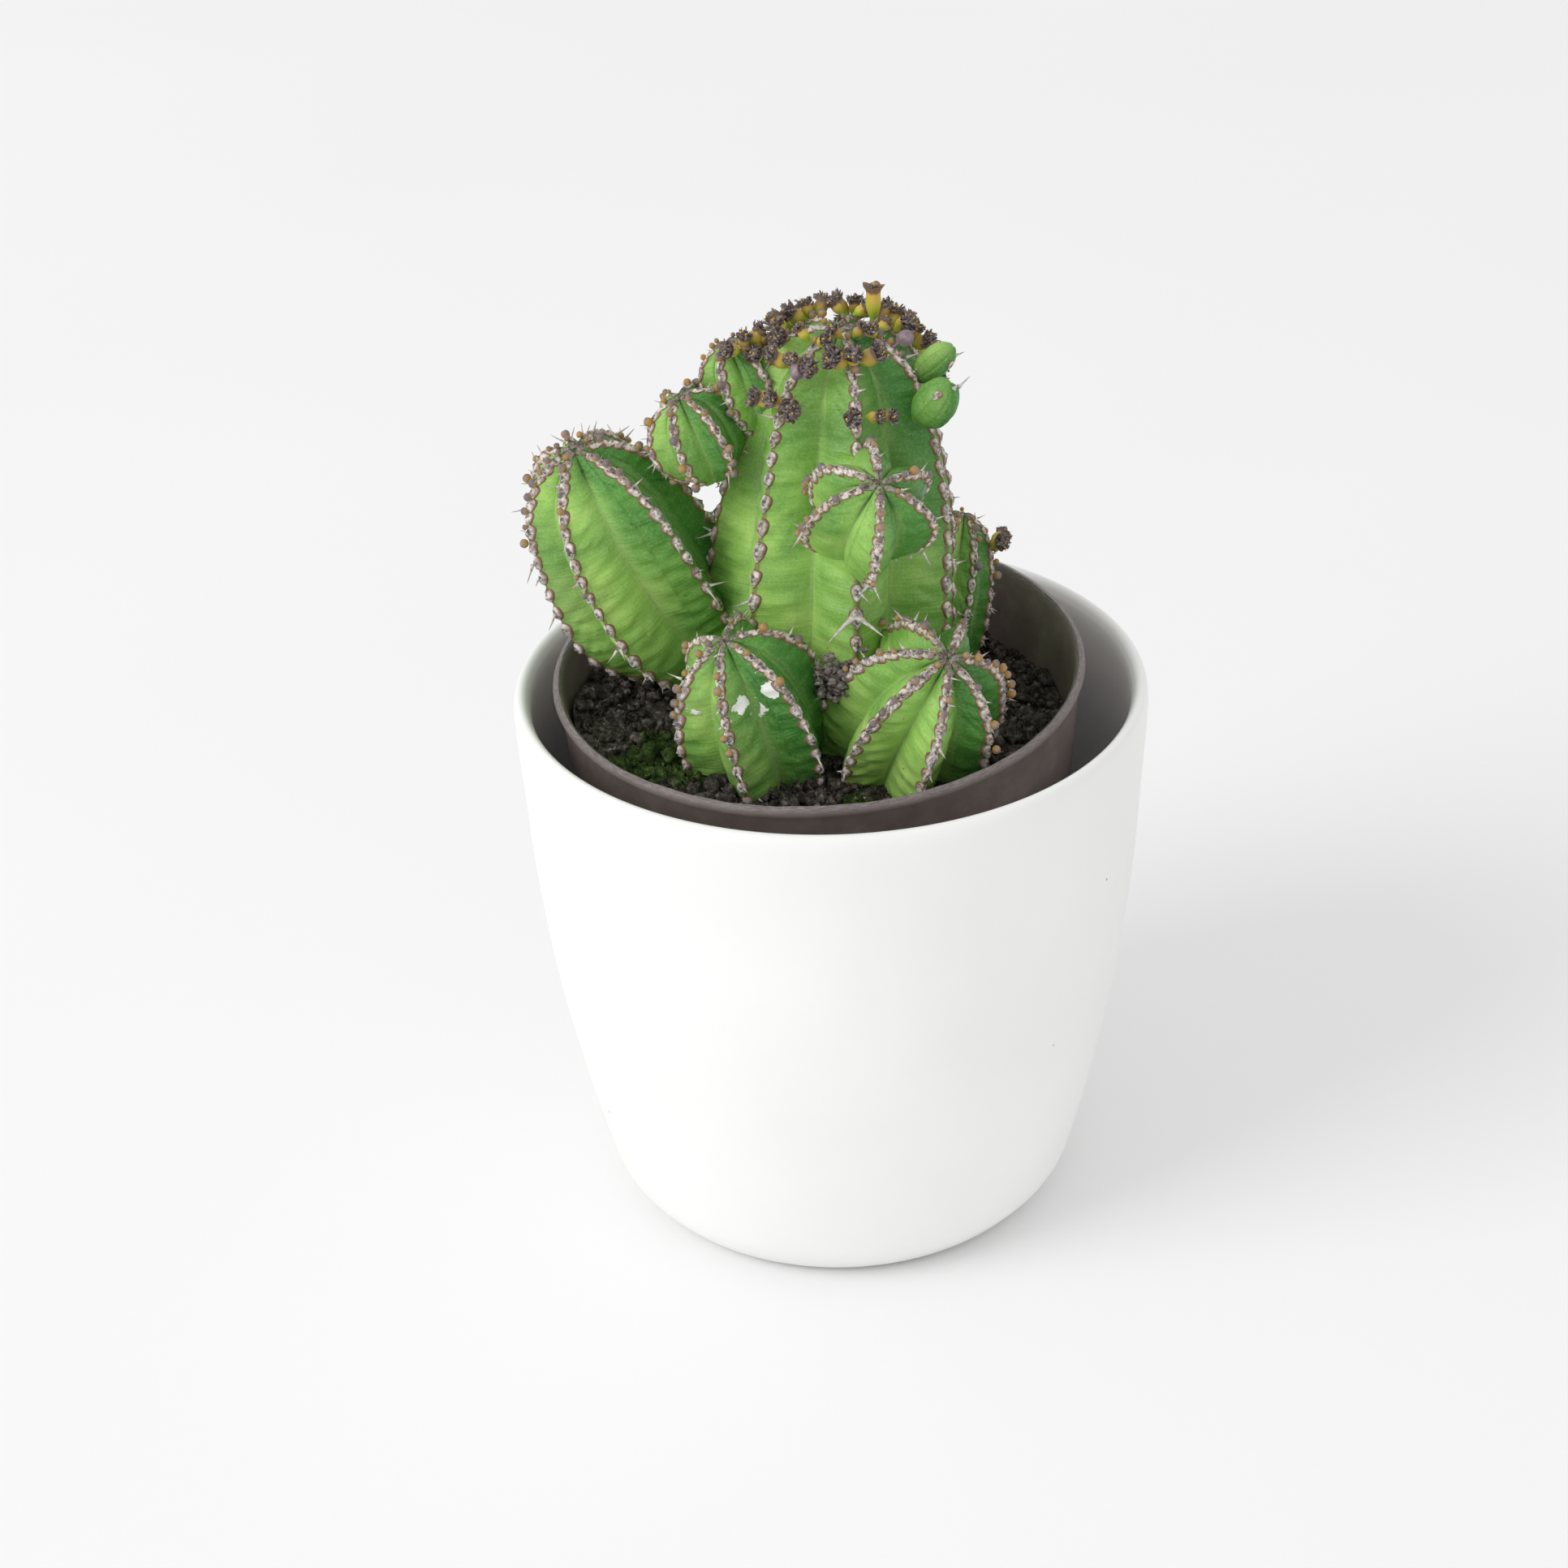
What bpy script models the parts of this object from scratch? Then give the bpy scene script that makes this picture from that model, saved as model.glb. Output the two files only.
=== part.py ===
"""Many-stemmed spiny succulent in a plastic grow pot that leans inside a white cover pot.

Metres, +Z up. The origin is the centre of the cover pot's flat underside.
Sizes below are in millimetres and are turned to metres by MM.
"""

import math

import bmesh
import bpy
from mathutils import Matrix, Vector

MM = 0.001
GAP = 0.35 * MM  # clearance between neighbouring solids

# Cover pot: 140 mm across its widest ring, 128 mm tall
COVER_HEIGHT = 128.0
COVER_WALL = 3.5
COVER_FLOOR = 4.5
COVER_OUTSIDE = (  # height, outer radius
    (105.0, 68.9), (85.0, 67.6), (60.0, 64.7), (35.0, 60.1),
    (18.0, 56.2), (9.0, 53.7), (4.0, 50.2), (1.5, 47.6), (0.0, 44.0),
)
COVER_STEPS = 56

# Grow pot: it leans, so its rim is low at the front and at the left
RIM_CENTRE = Vector((-2.6, 0.4, 132.0))
RIM_NORMAL = Vector((-0.028, -0.0625, 1.0)).normalized()
GROW_HEIGHT = 124.5
GROW_WALL = 1.3
LIP_RADIUS = 58.7
LIP_WIDTH = 2.2
NECK_DEPTH = 31.0  # the straight stacking neck under the lip
BASE_RADIUS = 42.0
HOLE_COUNT = 6
HOLE_RADIUS = 4.0
HOLE_CIRCLE = 28.0
GROW_STEPS = 44

# Soil
SOIL_LEVEL = 118.5
SOIL_FALL = -0.05  # lower towards +X
SOIL_STEPS = 36

# Stems: each grows along a curved axis base-bend-apex, with a rib at every listed azimuth (degrees)
# and a valley between two ribs that is depth of the radius deep.
STEMS = {
    "main_stem": dict(
        base=(0.5, 2, 100), bend=(2, 3, 150), apex=(4.2, 4, 209), radius=28.5, twist=-6,
        ribs=(-178, -127, -78, -24, 26, 77, 129), depth=0.24, outline="column"),
    "left_stem": dict(
        base=(-24, 14, 127), bend=(-42, 8, 143), apex=(-53, -2, 185), radius=20, twist=8,
        ribs=(-160, -112, -40, 12, 60, 105, 152), depth=0.27, outline="barrel"),
    "front_right_offset": dict(
        base=(13, -15, 106), bend=(16, -22, 128), apex=(24.5, -38, 151.8), radius=19.5, twist=0,
        ribs=(170, -140, -90, -40, 8, 65, 120), depth=0.27, outline="ball"),
    "front_left_offset": dict(
        base=(-12, -18, 106), bend=(-15, -25, 130), apex=(-21.8, -32, 154), radius=16.8, twist=4,
        ribs=(-160, -105, -42, 20, 80, 140), depth=0.27, outline="ball"),
    "centre_branch": dict(
        base=(7, -12, 165), bend=(8, -24, 177), apex=(11, -35, 190.5), radius=14, twist=0,
        ribs=(92, 28, -18, -88, -165, 150), depth=0.3, outline="ball"),
    "upper_left_rear": dict(
        base=(-13, 4, 185), bend=(-16, 5, 194), apex=(-20, 6, 205.5), radius=9, twist=0,
        ribs=(-170, -110, -50, 10, 70, 130), depth=0.24, outline="ball"),
    "upper_left_branch": dict(
        base=(-24, -1, 178), bend=(-26, -2, 186), apex=(-30.3, -3, 197.5), radius=10.4, twist=6,
        ribs=(-165, -110, -55, 10, 70, 125), depth=0.24, outline="ball"),
    "back_right_offset": dict(
        base=(20, 24, 106), bend=(26, 28, 130), apex=(31, 33, 151), radius=10.5, twist=0,
        ribs=(-160, -110, -60, -10, 40, 90, 145), depth=0.25, outline="ball"),
    "back_left_offset": dict(
        base=(-18, 20, 106), bend=(-24, 20, 130), apex=(-28, 20, 156), radius=9.5, twist=0,
        ribs=(-160, -110, -50, 0, 50, 100, 150), depth=0.25, outline="ball"),
    "shoulder_pup": dict(
        base=(20, -9, 193), bend=(23, -11, 197), apex=(26.5, -13, 202.5), radius=4.6, twist=0,
        ribs=(-130, -50, 30, 110), depth=0.25, outline="ball"),
    "shoulder_pup_upper": dict(
        base=(19, -1, 199), bend=(23, -1, 202), apex=(27.5, -1, 206), radius=3.4, twist=0,
        ribs=(-130, -50, 30, 110), depth=0.25, outline="ball"),
}
# Outline of a rib's crest: distance below the apex / length, crest radius / radius
OUTLINES = {
    "column": ((0, 0), (-0.005, 0.1), (0, 0.25), (0.02, 0.43), (0.06, 0.6), (0.12, 0.72),
               (0.22, 0.82), (0.36, 0.92), (0.52, 0.98), (0.7, 1), (0.85, 0.92), (1, 0.8)),
    "barrel": ((0, 0), (-0.01, 0.12), (0, 0.28), (0.035, 0.5), (0.09, 0.7), (0.18, 0.87),
               (0.32, 0.97), (0.48, 1), (0.62, 0.97), (0.76, 0.82), (0.88, 0.55), (1, 0.3)),
    "ball": ((0, 0), (-0.012, 0.12), (0, 0.28), (0.04, 0.5), (0.11, 0.72), (0.22, 0.89),
             (0.38, 0.99), (0.52, 1), (0.68, 0.93), (0.82, 0.74), (0.92, 0.55), (1, 0.4)),
}
ROWS = {"column": 17, "barrel": 14, "ball": 12}
SAMPLES_PER_RIB = 4
# A later stem stops short of each stem that it grows out of or leans on
CUT_BY = {
    "left_stem": ("main_stem",),
    "front_right_offset": ("main_stem",),
    "front_left_offset": ("main_stem", "front_right_offset", "left_stem"),
    "centre_branch": ("main_stem",),
    "upper_left_rear": ("main_stem",),
    "upper_left_branch": ("main_stem", "upper_left_rear", "left_stem"),
    "back_right_offset": ("main_stem", "front_right_offset"),
    "back_left_offset": ("main_stem", "left_stem"),
    "shoulder_pup": ("main_stem",),
    "shoulder_pup_upper": ("main_stem",),
}
ROOTED = ("main_stem", "left_stem", "front_right_offset", "front_left_offset",
          "back_right_offset", "back_left_offset")

# Dried flower cups: stem, rib number, place down the rib (0 apex, 1 base), length, mouth radius, lift
FLOWERS = {
    "tall_crown_flower": (("main_stem", 4, 0.19, 9.5, 2.6, 1.2),),
    "crown_flower_right": (
        ("main_stem", 4, 0.27, 6.5, 2.2, 0.8), ("main_stem", 4, 0.345, 6.0, 2.2, 0.5),
        ("main_stem", 4, 0.42, 5.5, 2.0, 0.3), ("main_stem", 5, 0.26, 6.0, 2.2, 0.8),
        ("main_stem", 5, 0.36, 5.5, 2.0, 0.4), ("main_stem", 3, 0.4, 5.0, 1.9, 0.2)),
    "crown_flower_left": (
        ("main_stem", 0, 0.27, 6.0, 2.1, 0.8),
        ("main_stem", 6, 0.24, 6.0, 2.0, 1.0), ("main_stem", 6, 0.33, 6.5, 2.2, 0.8),
        ("main_stem", 6, 0.42, 5.5, 2.0, 0.4)),
    "crown_flower_front": (
        ("main_stem", 1, 0.32, 5.0, 1.9, 0.3), ("main_stem", 1, 0.405, 5.5, 2.2, 0.0),
        ("main_stem", 2, 0.27, 5.0, 2.1, 0.5), ("main_stem", 2, 0.34, 4.5, 1.9, 0.1),
        ("upper_left_rear", 2, 0.3, 5.0, 1.9, 0.1)),
    "shelf_flower": (("main_stem", 2, 0.43, 5.5, 2.0, -0.2),),
    "seed_capsule": (("main_stem", 1, 0.245, 3.2, 1.8, 0.3), ("main_stem", 3, 0.27, 3.4, 1.8, 0.2)),
    "back_right_flower": (("back_right_offset", 3, 0.36, 5.5, 2.0, 0.3),),
}
FLOWER_STALK = 0.45  # stalk radius / mouth radius
FLOWER_SIDES = 6


def clear_scene():
    for obj in list(bpy.data.objects):
        bpy.data.objects.remove(obj, do_unlink=True)


def new_collection(name, hidden=False):
    collection = bpy.data.collections.new(name)
    bpy.context.scene.collection.children.link(collection)
    collection.hide_render = hidden
    return collection


def new_material(name, colour, roughness, sheen=0.0):
    material = bpy.data.materials.new(name)
    material.use_nodes = True
    shader = material.node_tree.nodes["Principled BSDF"]
    shader.inputs["Base Color"].default_value = (*colour, 1.0)
    shader.inputs["Roughness"].default_value = roughness
    shader.inputs["Metallic"].default_value = 0.0
    shader.inputs["Sheen Weight"].default_value = sheen
    return material


def object_from(bm, name, collection, material, sharp_degrees=35):
    """Finish a bmesh as a smooth-shaded object."""
    bmesh.ops.recalc_face_normals(bm, faces=bm.faces)
    mesh = bpy.data.meshes.new(name)
    bm.to_mesh(mesh)
    bm.free()
    mesh.shade_smooth()
    mesh.set_sharp_from_angle(angle=math.radians(sharp_degrees))
    mesh.materials.append(material)
    obj = bpy.data.objects.new(name, mesh)
    collection.objects.link(obj)
    return obj


def turned(name, profile, steps, collection, material):
    """Turn an outline of (radius, height) in mm, whose outer side runs downward, around Z."""
    mesh = bpy.data.meshes.new(name)
    points = [(radius * MM, 0.0, height * MM) for radius, height in profile]
    mesh.from_pydata(points, [(i, i + 1) for i in range(len(points) - 1)], [])
    mesh.materials.append(material)
    obj = bpy.data.objects.new(name, mesh)
    collection.objects.link(obj)
    screw = obj.modifiers.new("turn", "SCREW")
    screw.steps = steps
    screw.render_steps = steps
    screw.use_merge_vertices = True
    screw.merge_threshold = 0.00005
    screw.use_smooth_shade = True
    return obj


def cut(obj, cutter):
    boolean = obj.modifiers.new("clear_of_" + cutter.name, "BOOLEAN")
    boolean.operation = "DIFFERENCE"
    boolean.solver = "EXACT"
    boolean.object = cutter


# ---- pots ----


def cover_pot(collection, material):
    """White glazed pot: flat foot, rounded lower edge, flaring wall and a rolled lip."""
    top = COVER_HEIGHT
    widest = 70.0
    inner_rim = widest - COVER_WALL
    lip = [(inner_rim, top - 3.0), (inner_rim + 0.5, top - 0.9), (inner_rim + 1.4, top),
           (widest - 0.9, top), (widest - 0.2, top - 0.8), (widest, top - 2.5)]
    outside = [(radius, height) for height, radius in COVER_OUTSIDE]
    inside = [(radius - COVER_WALL, height) for height, radius in COVER_OUTSIDE[:5]]
    heel = [(50.6, 10.0), (48.4, 6.4), (45.0, COVER_FLOOR)]
    profile = [(0.0, COVER_FLOOR)] + heel[::-1] + inside[::-1] + lip + outside + [(0.0, 0.0)]
    return turned("cover_pot", profile, COVER_STEPS, collection, material)


def grow_wall(height):
    """Inner radius of the grow pot at a height above its underside."""
    neck = GROW_HEIGHT - NECK_DEPTH
    low, middle, high = BASE_RADIUS - 0.4, 53.0, LIP_RADIUS - LIP_WIDTH
    if height < neck:
        return low + (middle - low) * height / neck
    return middle + 0.8 + (high - middle - 0.8) * (height - neck) / NECK_DEPTH


def grow_pot(collection, cutters, material, place):
    """Thin moulded pot: tapered body, stacking neck, rolled lip and drainage holes."""
    neck = GROW_HEIGHT - NECK_DEPTH
    inside = [(grow_wall(h), h) for h in (GROW_WALL + 0.8, neck - 1.2, neck + 0.8)]
    lip = [(grow_wall(GROW_HEIGHT - 2.0), GROW_HEIGHT - 2.0),
           (LIP_RADIUS - LIP_WIDTH + 0.4, GROW_HEIGHT - 0.3),
           (LIP_RADIUS - 1.1, GROW_HEIGHT), (LIP_RADIUS - 0.2, GROW_HEIGHT - 0.5),
           (LIP_RADIUS, GROW_HEIGHT - 1.3), (LIP_RADIUS - 0.3, GROW_HEIGHT - 2.4)]
    outside = [(grow_wall(h) + GROW_WALL, h) for h in (GROW_HEIGHT - 3.2, neck + 0.8, neck - 1.2)]
    foot = [(BASE_RADIUS + 0.9, 1.4), (BASE_RADIUS, 0.0)]
    floor = [(0.0, GROW_WALL), (BASE_RADIUS - 1.4, GROW_WALL)]
    profile = floor + inside + lip + outside + foot + [(0.0, 0.0)]
    obj = turned("grow_pot", profile, GROW_STEPS, collection, material)
    obj.matrix_world = place
    for number in range(HOLE_COUNT):
        angle = 2 * math.pi * (number + 0.5) / HOLE_COUNT
        bm = bmesh.new()
        bmesh.ops.create_cone(bm, cap_ends=True, segments=8, radius1=HOLE_RADIUS * MM,
                              radius2=HOLE_RADIUS * MM, depth=4 * GROW_WALL * MM)
        hole = object_from(bm, f"drain_hole_{number}", cutters, material)
        spot = Vector((math.cos(angle), math.sin(angle), 0)) * HOLE_CIRCLE * MM
        hole.matrix_world = place @ Matrix.Translation(spot)
        hole.display_type = "WIRE"
        hole.hide_render = True
        cut(obj, hole)
    return obj


def grow_pot_place():
    """Grow pot frame in the world: origin at the centre of its underside, in metres."""
    turn = Vector((0, 0, 1)).rotation_difference(RIM_NORMAL).to_matrix().to_4x4()
    centre = (RIM_CENTRE - RIM_NORMAL * GROW_HEIGHT) * MM
    return Matrix.Translation(centre) @ turn


# ---- soil ----


def soil_height(x, y):
    """Height in mm of the uneven soil surface above a point of the floor."""
    lumps = 0.7 * math.sin(0.21 * x + 1.0) * math.cos(0.17 * y) + 0.4 * math.sin(0.4 * x - 0.33 * y)
    return SOIL_LEVEL + SOIL_FALL * x + lumps


def soil(collection, material, place):
    """Peat that fills the leaning pot up to its own nearly level surface."""
    scaled = place.copy()
    scaled.translation = place.translation / MM
    bm = bmesh.new()
    columns = range(SOIL_STEPS)
    directions = [(math.cos(2 * math.pi * c / SOIL_STEPS), math.sin(2 * math.pi * c / SOIL_STEPS))
                  for c in columns]

    def surface(direction, share):
        """Local point of the surface at a share of the wall radius."""
        height = GROW_HEIGHT - 14
        for _ in range(4):
            radius = share * (grow_wall(height) - 0.5)
            local = Vector((direction[0] * radius, direction[1] * radius, height))
            world = scaled @ local
            height += soil_height(world.x, world.y) - world.z
        return local

    bottom_height = GROW_WALL + 0.4
    bottom = bm.verts.new((0, 0, bottom_height))
    edge = [bm.verts.new((d[0] * (grow_wall(2.0) - 1.6), d[1] * (grow_wall(2.0) - 1.6), bottom_height))
            for d in directions]
    rings = [edge]
    neck = GROW_HEIGHT - NECK_DEPTH
    for height in (neck - 1.6, neck + 1.2):
        radius = grow_wall(neck - 1.6) - 0.5 if height < neck else grow_wall(height) - 0.5
        rings.append([bm.verts.new((d[0] * radius, d[1] * radius, height)) for d in directions])
    for share in (1.0, 0.86, 0.68, 0.48, 0.26):
        rings.append([bm.verts.new(surface(d, share)) for d in directions])
    top = bm.verts.new(surface((1.0, 0.0), 0.0))
    for c in columns:
        n = (c + 1) % SOIL_STEPS
        bm.faces.new((bottom, edge[n], edge[c]))
        for low, high in zip(rings, rings[1:]):
            bm.faces.new((low[c], low[n], high[n], high[c]))
        bm.faces.new((rings[-1][c], rings[-1][n], top))
    bmesh.ops.scale(bm, vec=(MM, MM, MM), verts=bm.verts)
    obj = object_from(bm, "soil", collection, material)
    obj.matrix_world = place
    return obj


# ---- stems ----


def outline_at(outline, t):
    """Smooth read of an outline at t from 0 (apex) to 1 (base)."""
    points = OUTLINES[outline]
    last = len(points) - 1
    place = min(max(t, 0.0), 1.0) * last
    i = min(int(place), last - 1)
    f = place - i
    a, b, c, d = (Vector(points[min(max(k, 0), last)]) for k in (i - 1, i, i + 1, i + 2))
    start = (c - a) / 2 if i else c - b
    end = (d - b) / 2 if i < last - 1 else c - b
    blend = (b * (2 * f**3 - 3 * f**2 + 1) + start * (f**3 - 2 * f**2 + f)
             + c * (3 * f**2 - 2 * f**3) + end * (f**3 - f**2))
    return blend.x, max(blend.y, 0.0)


def axis_frame(stem, s):
    """Point of the stem's axis at s (0 base, 1 apex) with the axis direction and two cross directions."""
    base, bend, apex = (Vector(stem[k]) for k in ("base", "bend", "apex"))
    point = base * (1 - s) ** 2 + bend * 2 * s * (1 - s) + apex * s * s
    along = ((bend - base) * 2 * (1 - s) + (apex - bend) * 2 * s).normalized()
    across = Vector((1, 0, 0))
    across = (across - along * across.dot(along)).normalized()
    return point, along, across, along.cross(across)


def stem_point(stem, t, azimuth, valley):
    """Skin point in mm: valley is 0 on a rib's crest and 1 at the bottom of a valley."""
    drop, share = outline_at(stem["outline"], t)
    length = (Vector(stem["apex"]) - Vector(stem["base"])).length
    upper = t < 0.5
    opening = min(share / 0.35, 1.0) if upper else 1.0
    if upper:
        drop += valley * max(1 - share / 0.9, 0.0) * opening * 0.12 * stem["radius"] / length
    radius = share * (1 - stem["depth"] * valley * opening) * stem["radius"]
    point, _, across, back = axis_frame(stem, 1 - drop)
    angle = math.radians(azimuth + stem["twist"] * t)
    return point + across * radius * math.cos(angle) + back * radius * math.sin(angle)


def stem_columns(stem):
    """(azimuth, valley) of each column of skin points round the stem."""
    ribs = sorted(stem["ribs"])
    columns = []
    for rib, following in zip(ribs, ribs[1:] + [ribs[0] + 360]):
        for k in range(SAMPLES_PER_RIB):
            f = k / SAMPLES_PER_RIB
            columns.append((rib + (following - rib) * f, min(1.0, 2 * min(f, 1 - f)) ** 1.15))
    return columns


def stem_mesh(stem):
    """Ribbed loft from the apex to a closed base, in metres."""
    rows = ROWS[stem["outline"]]
    columns = stem_columns(stem)
    bm = bmesh.new()
    apex = bm.verts.new(stem_point(stem, 0.0, 0.0, 0.0))
    rings = []
    for row in range(1, rows + 1):
        t = 0.06 + 0.94 * (row - 1) / (rows - 1)
        rings.append([bm.verts.new(stem_point(stem, t, a, v)) for a, v in columns])
    base = bm.verts.new(Vector(stem["base"]))
    count = len(columns)
    for c in range(count):
        n = (c + 1) % count
        bm.faces.new((apex, rings[0][c], rings[0][n]))
        for high, low in zip(rings, rings[1:]):
            bm.faces.new((high[c], low[c], low[n], high[n]))
        bm.faces.new((rings[-1][c], base, rings[-1][n]))
    bmesh.ops.recalc_face_normals(bm, faces=bm.faces)
    bmesh.ops.scale(bm, vec=(MM, MM, MM), verts=bm.verts)
    return bm


def stem_object(name, stem, collection, material, grow=0.0):
    bm = stem_mesh(stem)
    if grow:
        bm.normal_update()
        for vert in bm.verts:
            vert.co += vert.normal * grow
    origin = Vector(stem["base"]) * MM
    bmesh.ops.translate(bm, vec=-origin, verts=bm.verts)
    obj = object_from(bm, name, collection, material, sharp_degrees=50)
    obj.location = origin
    return obj


def crest(stem, rib, t):
    """Crest point of a rib in mm, with the outward direction there."""
    azimuth = stem["ribs"][rib]
    point = stem_point(stem, t, azimuth, 0.0)
    down = (stem_point(stem, t + 0.02, azimuth, 0.0) - point).normalized()
    drop, _ = outline_at(stem["outline"], t)
    middle, along, _, _ = axis_frame(stem, 1 - drop)
    side = along.cross(point - middle).normalized()
    outward = down.cross(side).normalized()
    if outward.dot(point - middle + along) < 0:
        outward = -outward
    return point, outward


# ---- flowers ----


def add_cone(bm, start, direction, length, near_radius, far_radius, sides):
    """One closed tapered piece from start along direction; sizes in mm."""
    middle = (start + direction * length / 2) * MM
    turn = Vector((0, 0, 1)).rotation_difference(direction).to_matrix().to_4x4()
    bmesh.ops.create_cone(bm, cap_ends=True, segments=sides, radius1=near_radius * MM,
                          radius2=far_radius * MM, depth=length * MM,
                          matrix=Matrix.Translation(middle) @ turn)


def flower(name, spec, collection, material):
    """A dried cup that stands on a rib, mouth outward."""
    stem_name, rib, t, length, mouth, lift = spec
    point, outward = crest(STEMS[stem_name], rib, t)
    direction = (outward + Vector((0, 0, lift))).normalized()
    bm = bmesh.new()
    add_cone(bm, point + direction * 1.3, direction, length, mouth * FLOWER_STALK, mouth, FLOWER_SIDES)
    return object_from(bm, name, collection, material)


def build():
    clear_scene()
    parts = new_collection("potted_spiny_succulent")
    cutters = new_collection("cutters", hidden=True)
    glaze = new_material("white_glaze", (0.82, 0.82, 0.80), 0.35)
    plastic = new_material("taupe_plastic", (0.075, 0.06, 0.056), 0.45)
    peat = new_material("peat", (0.015, 0.013, 0.011), 0.95)
    skin = new_material("waxy_skin", (0.10, 0.28, 0.05), 0.45, sheen=0.1)
    husk = new_material("dried_husk", (0.18, 0.14, 0.08), 0.8)

    place = grow_pot_place()
    cover_pot(parts, glaze)
    grow_pot(parts, cutters, plastic, place)
    peat_body = soil(parts, peat, place)

    stems = {}
    grown = {}
    for name, stem in STEMS.items():
        stems[name] = stem_object(name, stem, parts, skin)
        grown[name] = stem_object(name + "_cutter", stem, cutters, skin, grow=GAP)
        grown[name].display_type = "WIRE"
        grown[name].hide_render = True
    for name, others in CUT_BY.items():
        for other in others:
            cut(stems[name], grown[other])
    for name in ROOTED:
        cut(peat_body, grown[name])

    for group, flowers in FLOWERS.items():
        for number, spec in enumerate(flowers, 1):
            name = group if len(flowers) == 1 else f"{group}_{number}"
            flower(name, spec, parts, husk)


build()
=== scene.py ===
"""Clustering spiny succulent with dried flowers, in a leaning grow pot inside a white cover pot."""

import functools
import math
import random

import bmesh
import bpy
import numpy as np
from mathutils import Matrix, Vector


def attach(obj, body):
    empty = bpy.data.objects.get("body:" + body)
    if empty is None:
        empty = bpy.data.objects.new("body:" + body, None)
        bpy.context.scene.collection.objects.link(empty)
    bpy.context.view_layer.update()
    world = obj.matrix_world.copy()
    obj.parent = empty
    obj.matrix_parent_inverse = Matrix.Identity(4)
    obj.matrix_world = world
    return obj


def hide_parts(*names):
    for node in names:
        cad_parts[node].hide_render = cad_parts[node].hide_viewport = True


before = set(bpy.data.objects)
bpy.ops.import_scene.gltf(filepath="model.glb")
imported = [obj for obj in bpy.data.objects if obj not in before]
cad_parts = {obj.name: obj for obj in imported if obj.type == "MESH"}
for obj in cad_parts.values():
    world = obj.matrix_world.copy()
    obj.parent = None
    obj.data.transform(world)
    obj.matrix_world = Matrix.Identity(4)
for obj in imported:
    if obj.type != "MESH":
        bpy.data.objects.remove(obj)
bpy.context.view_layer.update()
MM = 0.001
rng = random.Random(12)


# ---------------------------------------------------------------- cover pot
# A slip-cast ceramic cover pot with a satin white glaze. It is one turned wall with a rounded heel
# and a soft rolled lip; the glaze leaves a few tiny dark iron specks.
COVER_HEIGHT = 128.0
COVER_WALL = 3.5
COVER_FLOOR = 4.5
COVER_WIDEST = 70.0
COVER_OUTSIDE = (  # height, outer radius
    (105.0, 68.9), (85.0, 67.6), (60.0, 64.7), (35.0, 60.1),
    (18.0, 56.2), (9.0, 53.7), (4.0, 50.2), (1.5, 47.6), (0.0, 44.0),
)


def linear(colour):
    """sRGB hex colour as a linear RGBA tuple."""
    channels = (int(colour[i:i + 2], 16) / 255 for i in (1, 3, 5))
    return tuple(c / 12.92 if c <= 0.04045 else ((c + 0.055) / 1.055) ** 2.4 for c in channels) + (1.0,)


def new_material(name):
    """Material with its node tree and its Principled shader."""
    material = bpy.data.materials.new(name)
    material.use_nodes = True
    return material, material.node_tree, material.node_tree.nodes["Principled BSDF"]


def add(tree, kind, inputs=None, **settings):
    """One node with its settings; inputs maps a socket name or number to a value or to a linked socket."""
    made = tree.nodes.new(kind)
    for name, value in settings.items():
        setattr(made, name, value)
    for key, value in (inputs or {}).items():
        if isinstance(value, bpy.types.NodeSocket):
            tree.links.new(value, made.inputs[key])
        else:
            made.inputs[key].default_value = value
    return made


def ramp(tree, factor, stops, interpolation="LINEAR"):
    """Colour ramp with (position, hex colour or grey level) stops."""
    made = add(tree, "ShaderNodeValToRGB", {"Fac": factor})
    made.color_ramp.interpolation = interpolation
    elements = made.color_ramp.elements
    while len(elements) < len(stops):
        elements.new(0.5)
    for element, (position, colour) in zip(elements, stops):
        element.position = position
        element.color = linear(colour) if isinstance(colour, str) else (colour, colour, colour, 1.0)
    return made.outputs["Color"]


def mix(tree, factor, first, second, blend="MIX"):
    """Colour mix; first and second are sockets or hex colours."""
    made = add(tree, "ShaderNodeMix", data_type="RGBA", blend_type=blend)
    for key, value in ((0, factor), (6, first), (7, second)):
        if isinstance(value, bpy.types.NodeSocket):
            tree.links.new(value, made.inputs[key])
        else:
            made.inputs[key].default_value = linear(value) if isinstance(value, str) else value
    return made.outputs[2]


def finished_mesh(name, vertices, faces, material, values=None, sharp=None):
    """Smooth-shaded object from arrays in mm, with named point attributes."""
    mesh = bpy.data.meshes.new(name)
    mesh.from_pydata((np.asarray(vertices, float) * MM).tolist(), [], faces)
    for attribute, data in (values or {}).items():
        data = np.asarray(data, np.float32)
        kind, key = ("FLOAT", "value") if data.ndim == 1 else ("FLOAT_VECTOR", "vector")
        layer = mesh.attributes.new(attribute, kind, "POINT")
        layer.data.foreach_set(key, data.ravel())
    mesh.update()
    mesh.shade_smooth()
    if sharp:
        mesh.set_sharp_from_angle(angle=math.radians(sharp))
    for one in material if isinstance(material, (list, tuple)) else [material]:
        mesh.materials.append(one)
    obj = bpy.data.objects.new(name, mesh)
    bpy.context.scene.collection.objects.link(obj)
    return obj


def place(obj, slot, *nodes):
    """Hand a finished piece to the frame."""
    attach(obj, "root")
    if nodes:
        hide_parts(*nodes)
    return obj


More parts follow.
